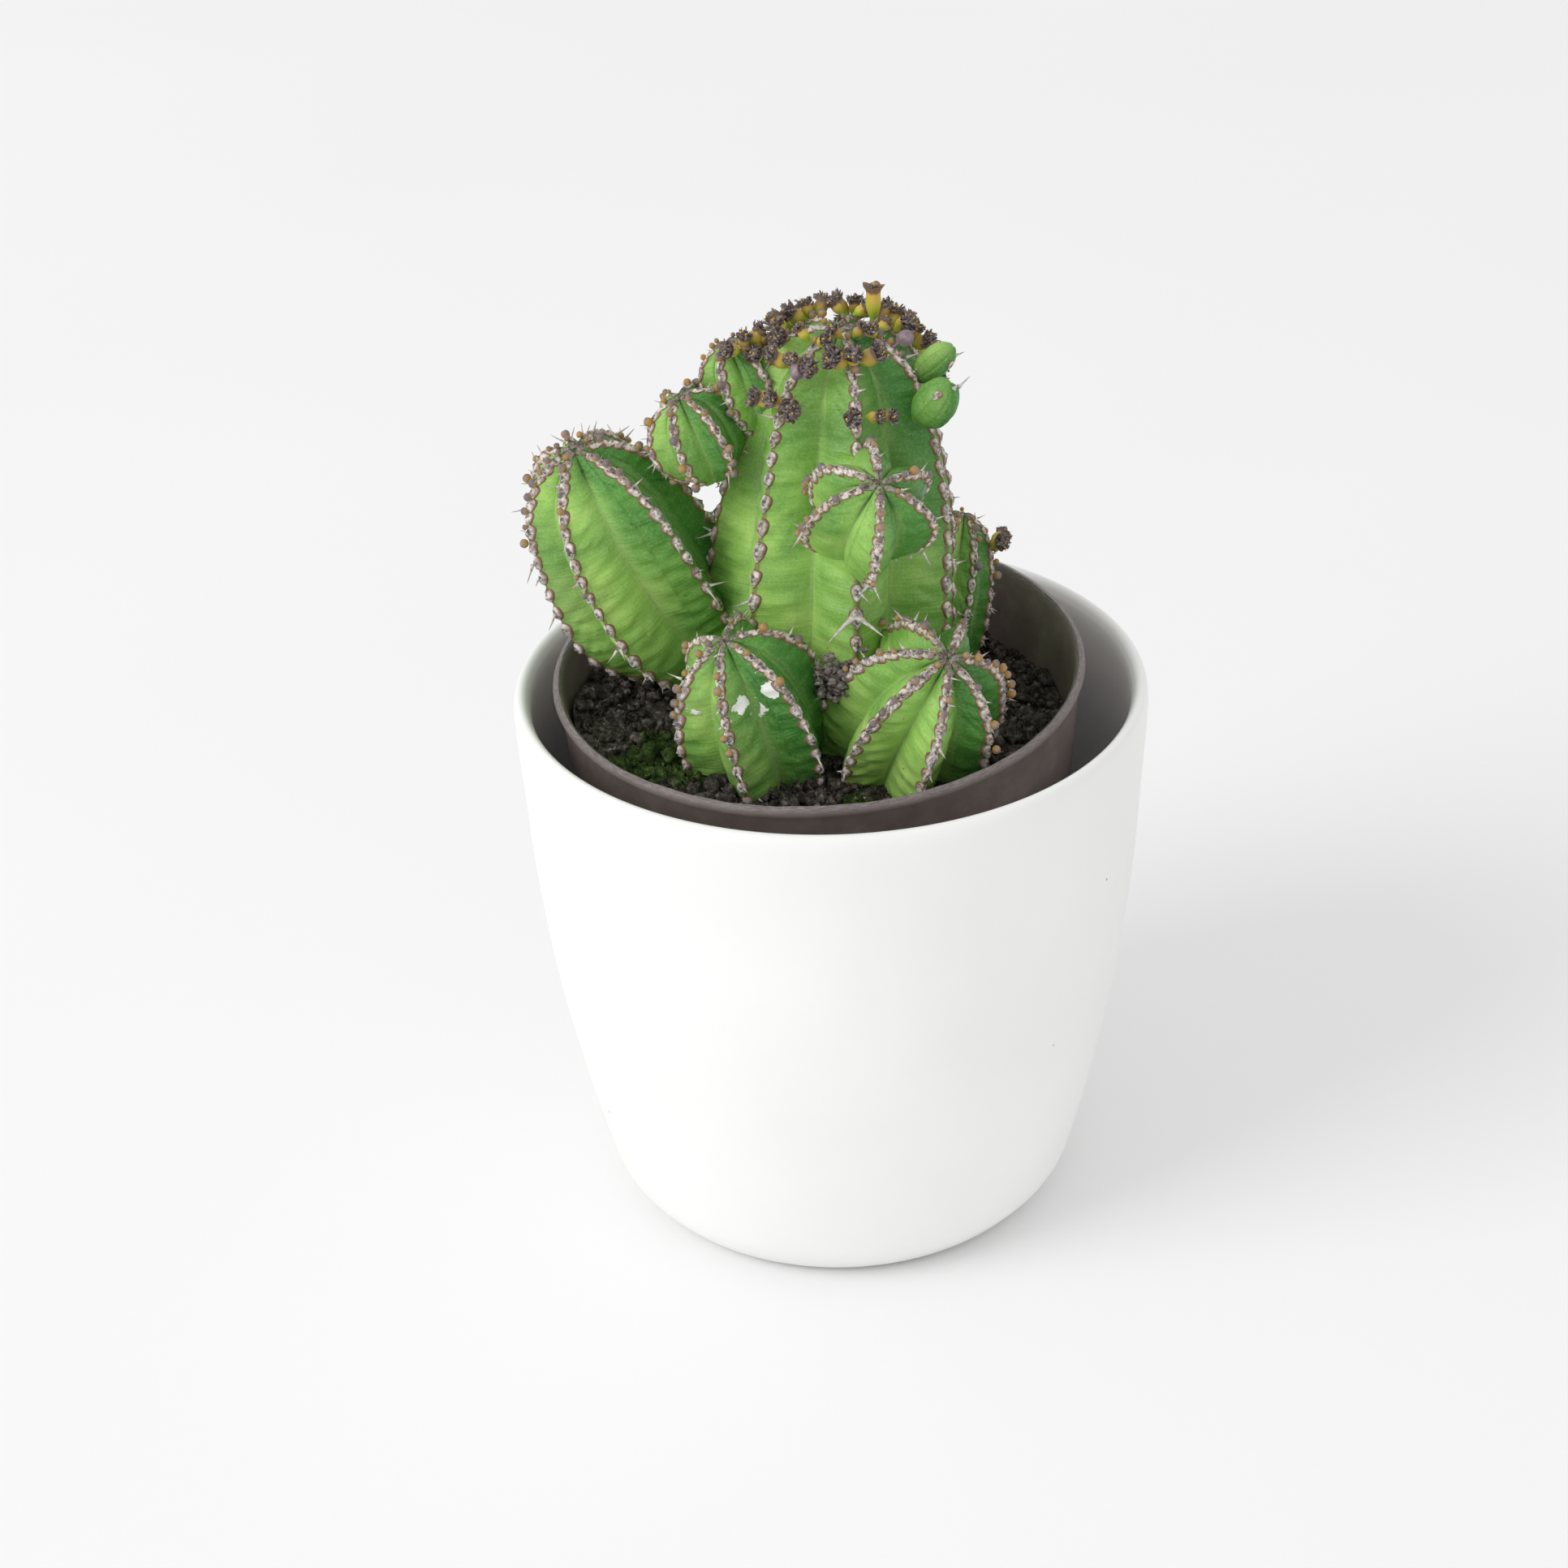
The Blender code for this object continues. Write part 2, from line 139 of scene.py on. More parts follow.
def smooth_outline(points, spacing):
    """Outline resampled along a curve through its points, about spacing mm apart."""
    points = np.asarray(points, float)
    before = np.vstack([points[:1], points[:-1]])
    after = np.vstack([points[1:], points[-1:]])
    slopes = (after - before) / 2
    result = []
    for a, b, m, n in zip(points[:-1], points[1:], slopes[:-1], slopes[1:]):
        count = max(2, int(np.linalg.norm(b - a) / spacing))
        for f in np.arange(count) / count:
            result.append(a * (2 * f**3 - 3 * f**2 + 1) + m * (f**3 - 2 * f**2 + f)
                          + b * (3 * f**2 - 2 * f**3) + n * (f**3 - f**2))
    result.append(points[-1])
    return np.array(result)


def turn_outline(outline, steps):
    """Vertices and faces of an outline (radius, height) turned round Z, its two ends on the axis."""
    angles = 2 * np.pi * np.arange(steps) / steps
    ring = outline[1:-1]
    vertices = [(r * math.cos(a), r * math.sin(a), z) for r, z in ring for a in angles]
    vertices += [(0, 0, outline[0][1]), (0, 0, outline[-1][1])]
    first, last = len(vertices) - 2, len(vertices) - 1
    faces = []
    for row in range(len(ring) - 1):
        for c in range(steps):
            n = (c + 1) % steps
            low, high = row * steps, (row + 1) * steps
            faces.append((low + c, low + n, high + n, high + c))
    for c in range(steps):
        n = (c + 1) % steps
        faces.append((first, n, c))
        end = (len(ring) - 1) * steps
        faces.append((last, end + c, end + n))
    return vertices, faces


def satin_white_glaze():
    """Satin feldspar glaze: near white, softly glossy, faint ripple, rare iron specks 0.3 mm across."""
    material, tree, shader = new_material("satin_white_glaze")
    spot = add(tree, "ShaderNodeTexCoord").outputs["Object"]
    cells = add(tree, "ShaderNodeTexVoronoi", {"Vector": spot, "Scale": 170.0})
    keep = add(tree, "ShaderNodeMath", {0: add(tree, "ShaderNodeSeparateColor", {"Color": cells.outputs["Color"]})
                                        .outputs[0], 1: 0.955}, operation="GREATER_THAN").outputs[0]
    speck = ramp(tree, cells.outputs["Distance"], ((0.0, 1.0), (0.035, 1.0), (0.06, 0.0)))
    marked = add(tree, "ShaderNodeMath", {0: speck, 1: keep}, operation="MULTIPLY").outputs[0]
    cloud = add(tree, "ShaderNodeTexNoise", {"Vector": spot, "Scale": 22.0, "Detail": 3.0}).outputs["Fac"]
    body = ramp(tree, cloud, ((0.3, "#f3f3f2"), (0.7, "#f8f8f7")))
    tree.links.new(mix(tree, marked, body, "#6d665f"), shader.inputs["Base Color"])
    shader.inputs["Roughness"].default_value = 0.38
    shader.inputs["IOR"].default_value = 1.5
    ripple = add(tree, "ShaderNodeTexNoise", {"Vector": spot, "Scale": 60.0, "Detail": 2.0}).outputs["Fac"]
    bump = add(tree, "ShaderNodeBump", {"Height": ripple, "Strength": 0.05, "Distance": 0.0004})
    tree.links.new(bump.outputs["Normal"], shader.inputs["Normal"])
    return material


cover_inside = [(radius - COVER_WALL, height) for height, radius in COVER_OUTSIDE[:5]]
cover_lip = [(66.2, 123.0), (66.6, 126.0), (67.4, 127.5), (68.4, 128.0), (69.3, 127.5), (69.8, 126.2),
             (69.98, 124.2), (69.75, 118.0)]
cover_heel = [(50.6, 10.0), (48.4, 6.4), (45.0, COVER_FLOOR)]
cover_points = ([(0.0, COVER_FLOOR), (30.0, COVER_FLOOR)] + cover_heel[::-1] + cover_inside[::-1] + cover_lip
                + [(radius, height) for height, radius in COVER_OUTSIDE] + [(30.0, 0.0), (0.0, 0.0)])
cover_vertices, cover_faces = turn_outline(smooth_outline(cover_points, 2.0), 240)
cover_vertices = np.array(cover_vertices)
cover_vertices[:, 2] = np.clip(cover_vertices[:, 2], 0.0, COVER_HEIGHT)
wide = np.maximum(np.hypot(cover_vertices[:, 0], cover_vertices[:, 1]) / COVER_WIDEST, 1.0)
cover_vertices[:, :2] /= wide[:, None]
cover = finished_mesh("white_cover_pot", cover_vertices, cover_faces, satin_white_glaze())
place(cover, "cover_pot_glaze", "cover_pot")


# ---------------------------------------------------------------- grow pot
# An injection-moulded polypropylene nursery pot, dark taupe. It leans in the cover pot. Its rolled
# lip is scuffed paler by handling, and its wall has fine moulding rings and lime haze.
RIM_CENTRE = Vector((-2.6, 0.4, 132.0))
RIM_NORMAL = Vector((-0.028, -0.0625, 1.0)).normalized()
GROW_HEIGHT = 124.5
GROW_WALL = 1.3
LIP_RADIUS = 58.7
LIP_WIDTH = 2.2
NECK_DEPTH = 31.0
BASE_RADIUS = 42.0
HOLE_COUNT = 6
HOLE_RADIUS = 4.0
HOLE_CIRCLE = 28.0


def grow_wall(height):
    """Inner radius of the grow pot at a height above its underside."""
    neck = GROW_HEIGHT - NECK_DEPTH
    low, middle, high = BASE_RADIUS - 0.4, 53.0, LIP_RADIUS - LIP_WIDTH
    if height < neck:
        return low + (middle - low) * height / neck
    return middle + 0.8 + (high - middle - 0.8) * (height - neck) / NECK_DEPTH


def scuffed_taupe_plastic():
    """Moulded polypropylene: satin dark taupe with pale scuffs where the lip was handled."""
    material, tree, shader = new_material("scuffed_taupe_polypropylene")
    spot = add(tree, "ShaderNodeTexCoord").outputs["Object"]
    near_lip = add(tree, "ShaderNodeAttribute", attribute_name="lip").outputs["Fac"]
    wrap = add(tree, "ShaderNodeAttribute", attribute_name="wrap").outputs["Vector"]
    cloud = add(tree, "ShaderNodeTexNoise", {"Vector": spot, "Scale": 90.0, "Detail": 6.0, "Roughness": 0.65})
    scratch = add(tree, "ShaderNodeTexNoise", {"Vector": add(tree, "ShaderNodeMapping", {
        "Vector": wrap, "Scale": (0.35, 9.0, 1.0)}).outputs[0], "Scale": 1.6, "Detail": 5.0, "Roughness": 0.7})
    body = ramp(tree, cloud.outputs["Fac"], ((0.3, "#776965"), (0.55, "#8a7c78"), (0.8, "#a09490")))
    worn = ramp(tree, scratch.outputs["Fac"], ((0.34, "#544b49"), (0.5, "#716967"), (0.68, "#a09996")))
    lip_mask = ramp(tree, near_lip, ((0.35, 0.0), (0.75, 0.9)))
    dust = add(tree, "ShaderNodeTexVoronoi", {"Vector": spot, "Scale": 420.0}).outputs["Distance"]
    flecks = ramp(tree, dust, ((0.0, 0.5), (0.09, 0.0)))
    colour = mix(tree, lip_mask, body, worn)
    tree.links.new(mix(tree, flecks, colour, "#b3aaa5"), shader.inputs["Base Color"])
    rough = ramp(tree, scratch.outputs["Fac"], ((0.3, 0.32), (0.7, 0.55)))
    tree.links.new(rough, shader.inputs["Roughness"])
    bump = add(tree, "ShaderNodeBump", {"Height": scratch.outputs["Fac"], "Strength": 0.25, "Distance": 0.0003})
    tree.links.new(bump.outputs["Normal"], shader.inputs["Normal"])
    return material


grow_turn = Vector((0, 0, 1)).rotation_difference(RIM_NORMAL).to_matrix().to_4x4()
grow_place = Matrix.Translation(RIM_CENTRE - RIM_NORMAL * GROW_HEIGHT) @ grow_turn
neck_height = GROW_HEIGHT - NECK_DEPTH
grow_points = (
    [(0.0, GROW_WALL), (36.0, GROW_WALL), (40.2, GROW_WALL)]
    + [(grow_wall(h), h) for h in (GROW_WALL + 0.8, 45.0, neck_height - 1.2, neck_height + 0.8, GROW_HEIGHT - 12)]
    + [(grow_wall(GROW_HEIGHT - 2.0), GROW_HEIGHT - 2.0), (LIP_RADIUS - LIP_WIDTH + 0.3, GROW_HEIGHT - 0.5),
       (LIP_RADIUS - 1.3, GROW_HEIGHT), (LIP_RADIUS - 0.35, GROW_HEIGHT - 0.35),
       (LIP_RADIUS, GROW_HEIGHT - 1.3), (LIP_RADIUS - 0.3, GROW_HEIGHT - 2.4)]
    + [(grow_wall(h) + GROW_WALL, h) for h in (GROW_HEIGHT - 3.2, GROW_HEIGHT - 12, neck_height + 0.8,
                                                neck_height - 1.2, 45.0)]
    + [(BASE_RADIUS + 0.9, 1.4), (BASE_RADIUS, 0.0), (36.0, 0.0), (0.0, 0.0)])
GROW_STEPS = 260
grow_vertices, grow_faces = turn_outline(np.array(grow_points), GROW_STEPS)
grow_vertices = np.array(grow_vertices)
grow_angle = np.arctan2(grow_vertices[:, 1], grow_vertices[:, 0])
grow_lip = np.clip(1 - (GROW_HEIGHT - grow_vertices[:, 2]) / 3.0, 0, 1)
lip_wave = (0.18 * np.sin(3 * grow_angle + 0.6) + 0.10 * np.sin(11 * grow_angle) + 0.06 * np.sin(37 * grow_angle))
grow_vertices[:, 2] += grow_lip * (lip_wave - 0.34)
grow_wrap = np.stack([grow_angle * LIP_RADIUS, grow_vertices[:, 2],
                      np.hypot(grow_vertices[:, 0], grow_vertices[:, 1])], 1)
grow = finished_mesh("leaning_grow_pot", grow_vertices, grow_faces, scuffed_taupe_plastic(),
                     {"lip": grow_lip, "wrap": grow_wrap}, sharp=50)
for number in range(HOLE_COUNT):
    angle = 2 * math.pi * (number + 0.5) / HOLE_COUNT
    drill_mesh = bpy.data.meshes.new("drain_drill")
    drill = bmesh.new()
    bmesh.ops.create_cone(drill, cap_ends=True, segments=28, radius1=HOLE_RADIUS * MM,
                          radius2=HOLE_RADIUS * MM, depth=4 * GROW_WALL * MM)
    spot = Vector((math.cos(angle), math.sin(angle), 0)) * HOLE_CIRCLE * MM
    bmesh.ops.translate(drill, vec=spot, verts=drill.verts)
    drill.to_mesh(drill_mesh)
    drill.free()
    drill_object = bpy.data.objects.new("drain_drill", drill_mesh)
    bpy.context.scene.collection.objects.link(drill_object)
    boolean = grow.modifiers.new("drain", "BOOLEAN")
    boolean.object = drill_object
    with bpy.context.temp_override(object=grow, active_object=grow):
        bpy.ops.object.modifier_apply(modifier="drain")
    bpy.data.objects.remove(drill_object)
scaled_place = grow_place.copy()
scaled_place.translation = grow_place.translation * MM
grow.data.transform(scaled_place)
place(grow, "grow_pot_plastic", "grow_pot")


# ---------------------------------------------------------------- stems
# Each stem is one living, water-filled column with a waxy skin. It swells into ribs with a sharp
# crest, creases shut between them, and buds new stems from its own sides.
STEMS = {
    "main_stem": dict(
        base=(0.5, 2, 100), bend=(2, 3, 150), apex=(4.2, 4, 209), radius=28.5, twist=-6,
        ribs=(-178, -127, -78, -24, 26, 77, 129), depth=0.3, outline="column"),
    "left_stem": dict(
        base=(-24, 14, 127), bend=(-42, 8, 143), apex=(-53, -2, 185), radius=20, twist=8,
        ribs=(-160, -112, -40, 12, 60, 105, 152), depth=0.33, outline="barrel"),
    "front_right_offset": dict(
        base=(13, -15, 106), bend=(16, -22, 128), apex=(24.5, -38, 151.8), radius=19.5, twist=0,
        ribs=(170, -140, -90, -40, 8, 65, 120), depth=0.38, outline="ball"),
    "front_left_offset": dict(
        base=(-12, -18, 106), bend=(-15, -25, 130), apex=(-21.8, -32, 154), radius=16.8, twist=4,
        ribs=(-160, -105, -42, 20, 80, 140), depth=0.36, outline="ball"),
    "centre_branch": dict(
        base=(7, -12, 165), bend=(8, -24, 177), apex=(11, -35, 190.5), radius=14, twist=0,
        ribs=(92, 28, -18, -88, -165, 150), depth=0.4, outline="ball"),
    "upper_left_rear": dict(
        base=(-13, 4, 185), bend=(-16, 5, 194), apex=(-20, 6, 205.5), radius=9, twist=0,
        ribs=(-170, -110, -50, 10, 70, 130), depth=0.28, outline="ball"),
    "upper_left_branch": dict(
        base=(-24, -1, 178), bend=(-26, -2, 186), apex=(-30.3, -3, 197.5), radius=10.4, twist=6,
        ribs=(-165, -110, -55, 10, 70, 125), depth=0.3, outline="ball"),
    "back_right_offset": dict(
        base=(20, 24, 106), bend=(26, 28, 130), apex=(31, 33, 151), radius=10.5, twist=0,
        ribs=(-160, -110, -60, -10, 40, 90, 145), depth=0.25, outline="ball"),
    "back_left_offset": dict(
        base=(-18, 20, 106), bend=(-24, 20, 130), apex=(-28, 20, 156), radius=9.5, twist=0,
        ribs=(-160, -110, -50, 0, 50, 100, 150), depth=0.25, outline="ball"),
    "shoulder_pup": dict(
        base=(20, -9, 193), bend=(23, -11, 197), apex=(26.5, -13, 202.5), radius=4.6, twist=0,
        ribs=(-130, -50, 30, 110), depth=0.07, outline="ball"),
    "shoulder_pup_upper": dict(
        base=(19, -1, 199), bend=(23, -1, 202), apex=(27.5, -1, 206), radius=3.4, twist=0,
        ribs=(-130, -50, 30, 110), depth=0.07, outline="ball"),
}
OUTLINES = {  # crest of a rib: distance below the apex / length, crest radius / radius
    "column": ((0, 0), (-0.005, 0.1), (0, 0.25), (0.02, 0.43), (0.06, 0.6), (0.12, 0.72),
               (0.22, 0.82), (0.36, 0.92), (0.52, 0.98), (0.7, 1), (0.85, 0.92), (1, 0.8)),
    "barrel": ((0, 0), (-0.01, 0.12), (0, 0.28), (0.035, 0.5), (0.09, 0.7), (0.18, 0.87),
               (0.32, 0.97), (0.48, 1), (0.62, 0.97), (0.76, 0.82), (0.88, 0.55), (1, 0.3)),
    "ball": ((0, 0), (-0.012, 0.12), (0, 0.28), (0.04, 0.5), (0.11, 0.72), (0.22, 0.89),
             (0.38, 0.99), (0.52, 1), (0.68, 0.93), (0.82, 0.74), (0.92, 0.55), (1, 0.4)),
}
PUPS = {"shoulder_pup": 0, "shoulder_pup_upper": 1}  # the rib that carries a pup's only scar
RIB_SAMPLES = 30
ROWS_PER_MM = 2.0


def outline_at(outline, t):
    """Drop and crest radius, as shares, at t from 0 (apex) to 1 (base)."""
    points = np.array(OUTLINES[outline], float)
    last = len(points) - 1
    spot = np.clip(t, 0, 1) * last
    i = np.minimum(spot.astype(int), last - 1)
    f = (spot - i)[..., None]
    a, b, c, d = (points[np.clip(i + k, 0, last)] for k in (-1, 0, 1, 2))
    start = np.where((i > 0)[..., None], (c - a) / 2, c - b)
    end = np.where((i < last - 1)[..., None], (d - b) / 2, c - b)
    blend = (b * (2 * f**3 - 3 * f**2 + 1) + start * (f**3 - 2 * f**2 + f)
             + c * (3 * f**2 - 2 * f**3) + end * (f**3 - f**2))
    return blend[..., 0], np.maximum(blend[..., 1], 0)


def axis_frame(stem, s):
    """Points of a stem's axis at s (0 base, 1 apex), its direction there, and two cross directions."""
    base, bend, apex = (np.array(stem[k], float) for k in ("base", "bend", "apex"))
    s = np.asarray(s, float)[..., None]
    point = base * (1 - s) ** 2 + bend * 2 * s * (1 - s) + apex * s * s
    along = (bend - base) * 2 * (1 - s) + (apex - bend) * 2 * s
    along /= np.linalg.norm(along, axis=-1, keepdims=True)
    across = np.array([1.0, 0, 0]) - along * along[..., :1]
    across /= np.linalg.norm(across, axis=-1, keepdims=True)
    return point, along, across, np.cross(along, across)


def valley_share(stem, azimuth):
    """0 on a crest to 1 in a valley, for azimuths in degrees, with the fold's true cross-section."""
    ribs = np.sort(np.array(stem["ribs"], float))
    gaps = np.diff(np.append(ribs, ribs[0] + 360))
    turned = (np.asarray(azimuth, float) - ribs[0]) % 360
    index = np.searchsorted(ribs - ribs[0], turned, side="right") - 1
    f = (turned - (ribs[index] - ribs[0])) / gaps[index]
    d = np.minimum(1.0, 2 * np.minimum(f, 1 - f))
    keel = np.clip(d / 0.2, 0, 1)
    return 0.05 * keel * keel * (3 - 2 * keel) + 0.80 * d**0.88 + 0.15 * d**4, d


def stem_surface(stem, t, azimuth, valley):
    """Skin points in mm."""
    drop, share = outline_at(stem["outline"], t)
    length = np.linalg.norm(np.subtract(stem["apex"], stem["base"]))
    upper = t < 0.5
    opening = np.where(upper, np.clip(share / 0.35, 0, 1), 1.0)
    drop = drop + upper * valley * np.clip(1 - share / 0.9, 0, 1) * opening * 0.12 * stem["radius"] / length
    radius = share * (1 - stem["depth"] * valley * opening) * stem["radius"]
    point, _, across, back = axis_frame(stem, 1 - drop)
    angle = np.radians(azimuth + stem["twist"] * t)
    return point + across * (radius * np.cos(angle))[..., None] + back * (radius * np.sin(angle))[..., None]


@functools.cache
def crest_line(name, rib):
    """A rib's crest from apex to base: t, points, arc length, and outward, downward, sideways directions."""
    stem = STEMS[name]
    t = np.linspace(0.02, 0.98, 400)
    azimuth = np.full(400, float(stem["ribs"][rib]))
    points = stem_surface(stem, t, azimuth, np.zeros(400))
    down = np.gradient(points, axis=0)
    arc = np.concatenate([[0], np.cumsum(np.linalg.norm(np.diff(points, axis=0), axis=1))])
    down /= np.linalg.norm(down, axis=1, keepdims=True)
    drop, _ = outline_at(stem["outline"], t)
    middle, along, _, _ = axis_frame(stem, 1 - drop)
    side = np.cross(along, points - middle)
    side /= np.linalg.norm(side, axis=1, keepdims=True)
    outward = np.cross(down, side)
    flip = np.sign(((points - middle + along) * outward).sum(1, keepdims=True))
    return t, points, arc, outward * flip, down, side


@functools.cache
def shield_arcs(name, rib):
    """Arc positions of the spine shields down a rib: close at the apex, wider on older skin."""
    stem = STEMS[name]
    total = crest_line(name, rib)[2][-1]
    young = 0.35 * min(1.0, stem["radius"] / 14)
    arcs, at = [], 1.6 + 0.8 * ((rib * 7) % 5) / 5
    while at < total:
        arcs.append(at)
        at += min(2.1 + young * 0.19 * at + 0.3, 5.6) * (0.94 + 0.12 * ((rib * 13 + len(arcs) * 7) % 10) / 10)
    return np.array(arcs)


def inside(stem, points, margin=0.0):
    """True for points inside a stem's skin, grown by margin mm."""
    samples = np.linspace(0, 1, 60)
    axis, along, across, back = axis_frame(stem, samples)
    nearest = np.linalg.norm(points[:, None] - axis[None], axis=2).argmin(1)
    offset = points - axis[nearest]
    height = (offset * along[nearest]).sum(1)
    sideways = offset - along[nearest] * height[:, None]
    radial = np.linalg.norm(sideways, axis=1)
    length = np.linalg.norm(np.subtract(stem["apex"], stem["base"]))
    t = np.linspace(0, 1, 200)
    drop, share = outline_at(stem["outline"], t)
    s = samples[nearest] + height / length
    crest = np.interp(1 - s, drop[20:], share[20:], left=0.0, right=0.0)
    angle = np.degrees(np.arctan2((sideways * back[nearest]).sum(1), (sideways * across[nearest]).sum(1)))
    at_t = np.interp(1 - s, drop[20:], t[20:])
    valley, _ = valley_share(stem, angle - stem["twist"] * at_t)
    return radial < crest * stem["radius"] * (1 - stem["depth"] * valley) + margin


def soil_height(x, y):
    """Height in mm of the soil surface."""
    lumps = 0.7 * np.sin(0.21 * x + 1.0) * np.cos(0.17 * y) + 0.4 * np.sin(0.4 * x - 0.33 * y)
    return 118.5 - 0.05 * x + lumps


def hidden(points, own, margin=-0.4):
    """True for points under the soil or inside any other stem."""
    lost = points[:, 2] < soil_height(points[:, 0], points[:, 1]) - 0.5
    for name, stem in STEMS.items():
        if name != own:
            lost |= inside(stem, points, margin)
    return lost


def waxy_skin(name, latex=False):
    """Waxy epidermis: satin green with a soft bloom, paler in the creases, a thin corky edge on each
    crest, fine cross wrinkles, orange lenticels 0.4 mm across. latex adds dried white sap. The skin
    also carries painted light and shade: paler on the left side, darker on the right side, and dark
    in the deep clefts near the apex."""
    material, tree, shader = new_material(name)
    spot = add(tree, "ShaderNodeTexCoord").outputs["Object"]
    fold = add(tree, "ShaderNodeAttribute", attribute_name="fold").outputs["Fac"]
    age_and_painted_light = add(tree, "ShaderNodeAttribute", attribute_name="age_and_painted_light").outputs["Fac"]
    skin = add(tree, "ShaderNodeAttribute", attribute_name="skin").outputs["Vector"]
    wrinkle_space = add(tree, "ShaderNodeMapping", {"Vector": skin, "Scale": (0.10, 1.1, 1.0)}).outputs[0]
    wrinkle = add(tree, "ShaderNodeTexNoise", {"Vector": wrinkle_space, "Scale": 1.0, "Detail": 4.0,
                                               "Roughness": 0.6, "Distortion": 0.4}).outputs["Fac"]
    long_space = add(tree, "ShaderNodeMapping", {"Vector": skin, "Scale": (0.9, 0.12, 1.0)}).outputs[0]
    streak = add(tree, "ShaderNodeTexNoise", {"Vector": long_space, "Scale": 1.0, "Detail": 3.0}).outputs["Fac"]
    cloud = add(tree, "ShaderNodeTexNoise", {"Vector": spot, "Scale": 70.0, "Detail": 4.0}).outputs["Fac"]
    tone = add(tree, "ShaderNodeMath", {0: cloud, 1: 0.75, 2: 0.0}, operation="MULTIPLY_ADD").outputs[0]
    tone = add(tree, "ShaderNodeMath", {0: wrinkle, 1: 0.25, 2: tone}, operation="MULTIPLY_ADD").outputs[0]
    young = ramp(tree, tone, ((0.30, "#32702a"), (0.52, "#4f8e38"), (0.72, "#70ac48")))
    old = ramp(tree, tone, ((0.30, "#74aa47"), (0.52, "#a6d568"), (0.72, "#cfe785")))
    # the age value also carries painted light and shade: paler on the left side, darker on the right side
    colour = mix(tree, ramp(tree, age_and_painted_light, ((0.1, 0.0), (0.85, 1.0))), young, old)
    broad = add(tree, "ShaderNodeTexNoise", {"Vector": spot, "Scale": 38.0, "Detail": 2.0}).outputs["Fac"]
    colour = mix(tree, ramp(tree, broad, ((0.42, 0.55), (0.6, 0.0))), colour, "#3f7f33")
    crease = ramp(tree, fold, ((0.72, 0.0), (0.95, 0.35), (1.0, 0.5)))
    streaked = add(tree, "ShaderNodeMath", {0: crease, 1: ramp(tree, streak, ((0.35, 0.35), (0.6, 1.0)))},
                   operation="MULTIPLY").outputs[0]
    colour = mix(tree, streaked, colour, "#bfe08a")
    cleft = add(tree, "ShaderNodeAttribute", attribute_name="cleft").outputs["Fac"]
    # painted shade: the deep clefts near the apex are painted dark green
    colour = mix(tree, ramp(tree, cleft, ((0.15, 0.0), (0.7, 0.85))), colour, "#1f4a1e")
    edge = ramp(tree, fold, ((0.0, 0.85), (0.035, 0.75), (0.075, 0.0)))
    colour = mix(tree, edge, colour, "#7d6a45")
    pores = add(tree, "ShaderNodeTexVoronoi", {"Vector": spot, "Scale": 330.0})
    chosen = add(tree, "ShaderNodeMath", {0: add(tree, "ShaderNodeSeparateColor", {
        "Color": pores.outputs["Color"]}).outputs[0], 1: 0.86}, operation="GREATER_THAN").outputs[0]
    dot = ramp(tree, pores.outputs["Distance"], ((0.0, 1.0), (0.055, 0.9), (0.11, 0.0)))
    marked = add(tree, "ShaderNodeMath", {0: dot, 1: chosen}, operation="MULTIPLY").outputs[0]
    colour = mix(tree, marked, colour, "#b07a35")
    dust = add(tree, "ShaderNodeTexVoronoi", {"Vector": spot, "Scale": 900.0})
    fine = add(tree, "ShaderNodeMath", {0: add(tree, "ShaderNodeSeparateColor", {
        "Color": dust.outputs["Color"]}).outputs[1], 1: 0.9}, operation="GREATER_THAN").outputs[0]
    grain = ramp(tree, dust.outputs["Distance"], ((0.0, 0.7), (0.1, 0.0)))
    grains = add(tree, "ShaderNodeMath", {0: grain, 1: fine}, operation="MULTIPLY").outputs[0]
    colour = mix(tree, grains, colour, "#c9dcb0")
    grainy = add(tree, "ShaderNodeTexNoise", {"Vector": spot, "Scale": 2000.0, "Detail": 2.0}).outputs["Fac"]
    colour = mix(tree, ramp(tree, grainy, ((0.5, 0.0), (0.7, 0.12))), colour, "#dcecb0")
    colour = mix(tree, ramp(tree, grainy, ((0.3, 0.12), (0.5, 0.0))), colour, "#2c5c26")
    rough = ramp(tree, cloud, ((0.3, 0.33), (0.7, 0.48)))
    height = add(tree, "ShaderNodeMath", {0: wrinkle, 1: 0.7, 2: 0.0}, operation="MULTIPLY_ADD").outputs[0]
    height = add(tree, "ShaderNodeMath", {0: streak, 1: 0.25, 2: height}, operation="MULTIPLY_ADD").outputs[0]
    height = add(tree, "ShaderNodeMath", {0: grainy, 1: 0.03, 2: height}, operation="MULTIPLY_ADD").outputs[0]
    if latex:
        blot = add(tree, "ShaderNodeTexNoise", {"Vector": spot, "Scale": 430.0, "Detail": 7.0,
                                                "Roughness": 0.6}).outputs["Fac"]
        reach = add(tree, "ShaderNodeAttribute", attribute_name="latex").outputs["Fac"]
        total = add(tree, "ShaderNodeMath", {0: blot, 1: reach}, operation="ADD").outputs[0]
        sap = ramp(tree, total, ((0.95, 0.0), (0.985, 1.0)))
        colour = mix(tree, sap, colour, "#f4f6ee")
        height = add(tree, "ShaderNodeMath", {0: sap, 1: 0.8, 2: height}, operation="MULTIPLY_ADD").outputs[0]
    tree.links.new(colour, shader.inputs["Base Color"])
    tree.links.new(rough, shader.inputs["Roughness"])
    shader.inputs["IOR"].default_value = 1.42
    shader.inputs["Subsurface Weight"].default_value = 0.12
    shader.inputs["Subsurface Radius"].default_value = (0.0022, 0.0032, 0.0009)
    shader.inputs["Subsurface Scale"].default_value = 0.6
    bump = add(tree, "ShaderNodeBump", {"Height": height, "Strength": 0.55, "Distance": 0.0007})
    tree.links.new(bump.outputs["Normal"], shader.inputs["Normal"])
    return material


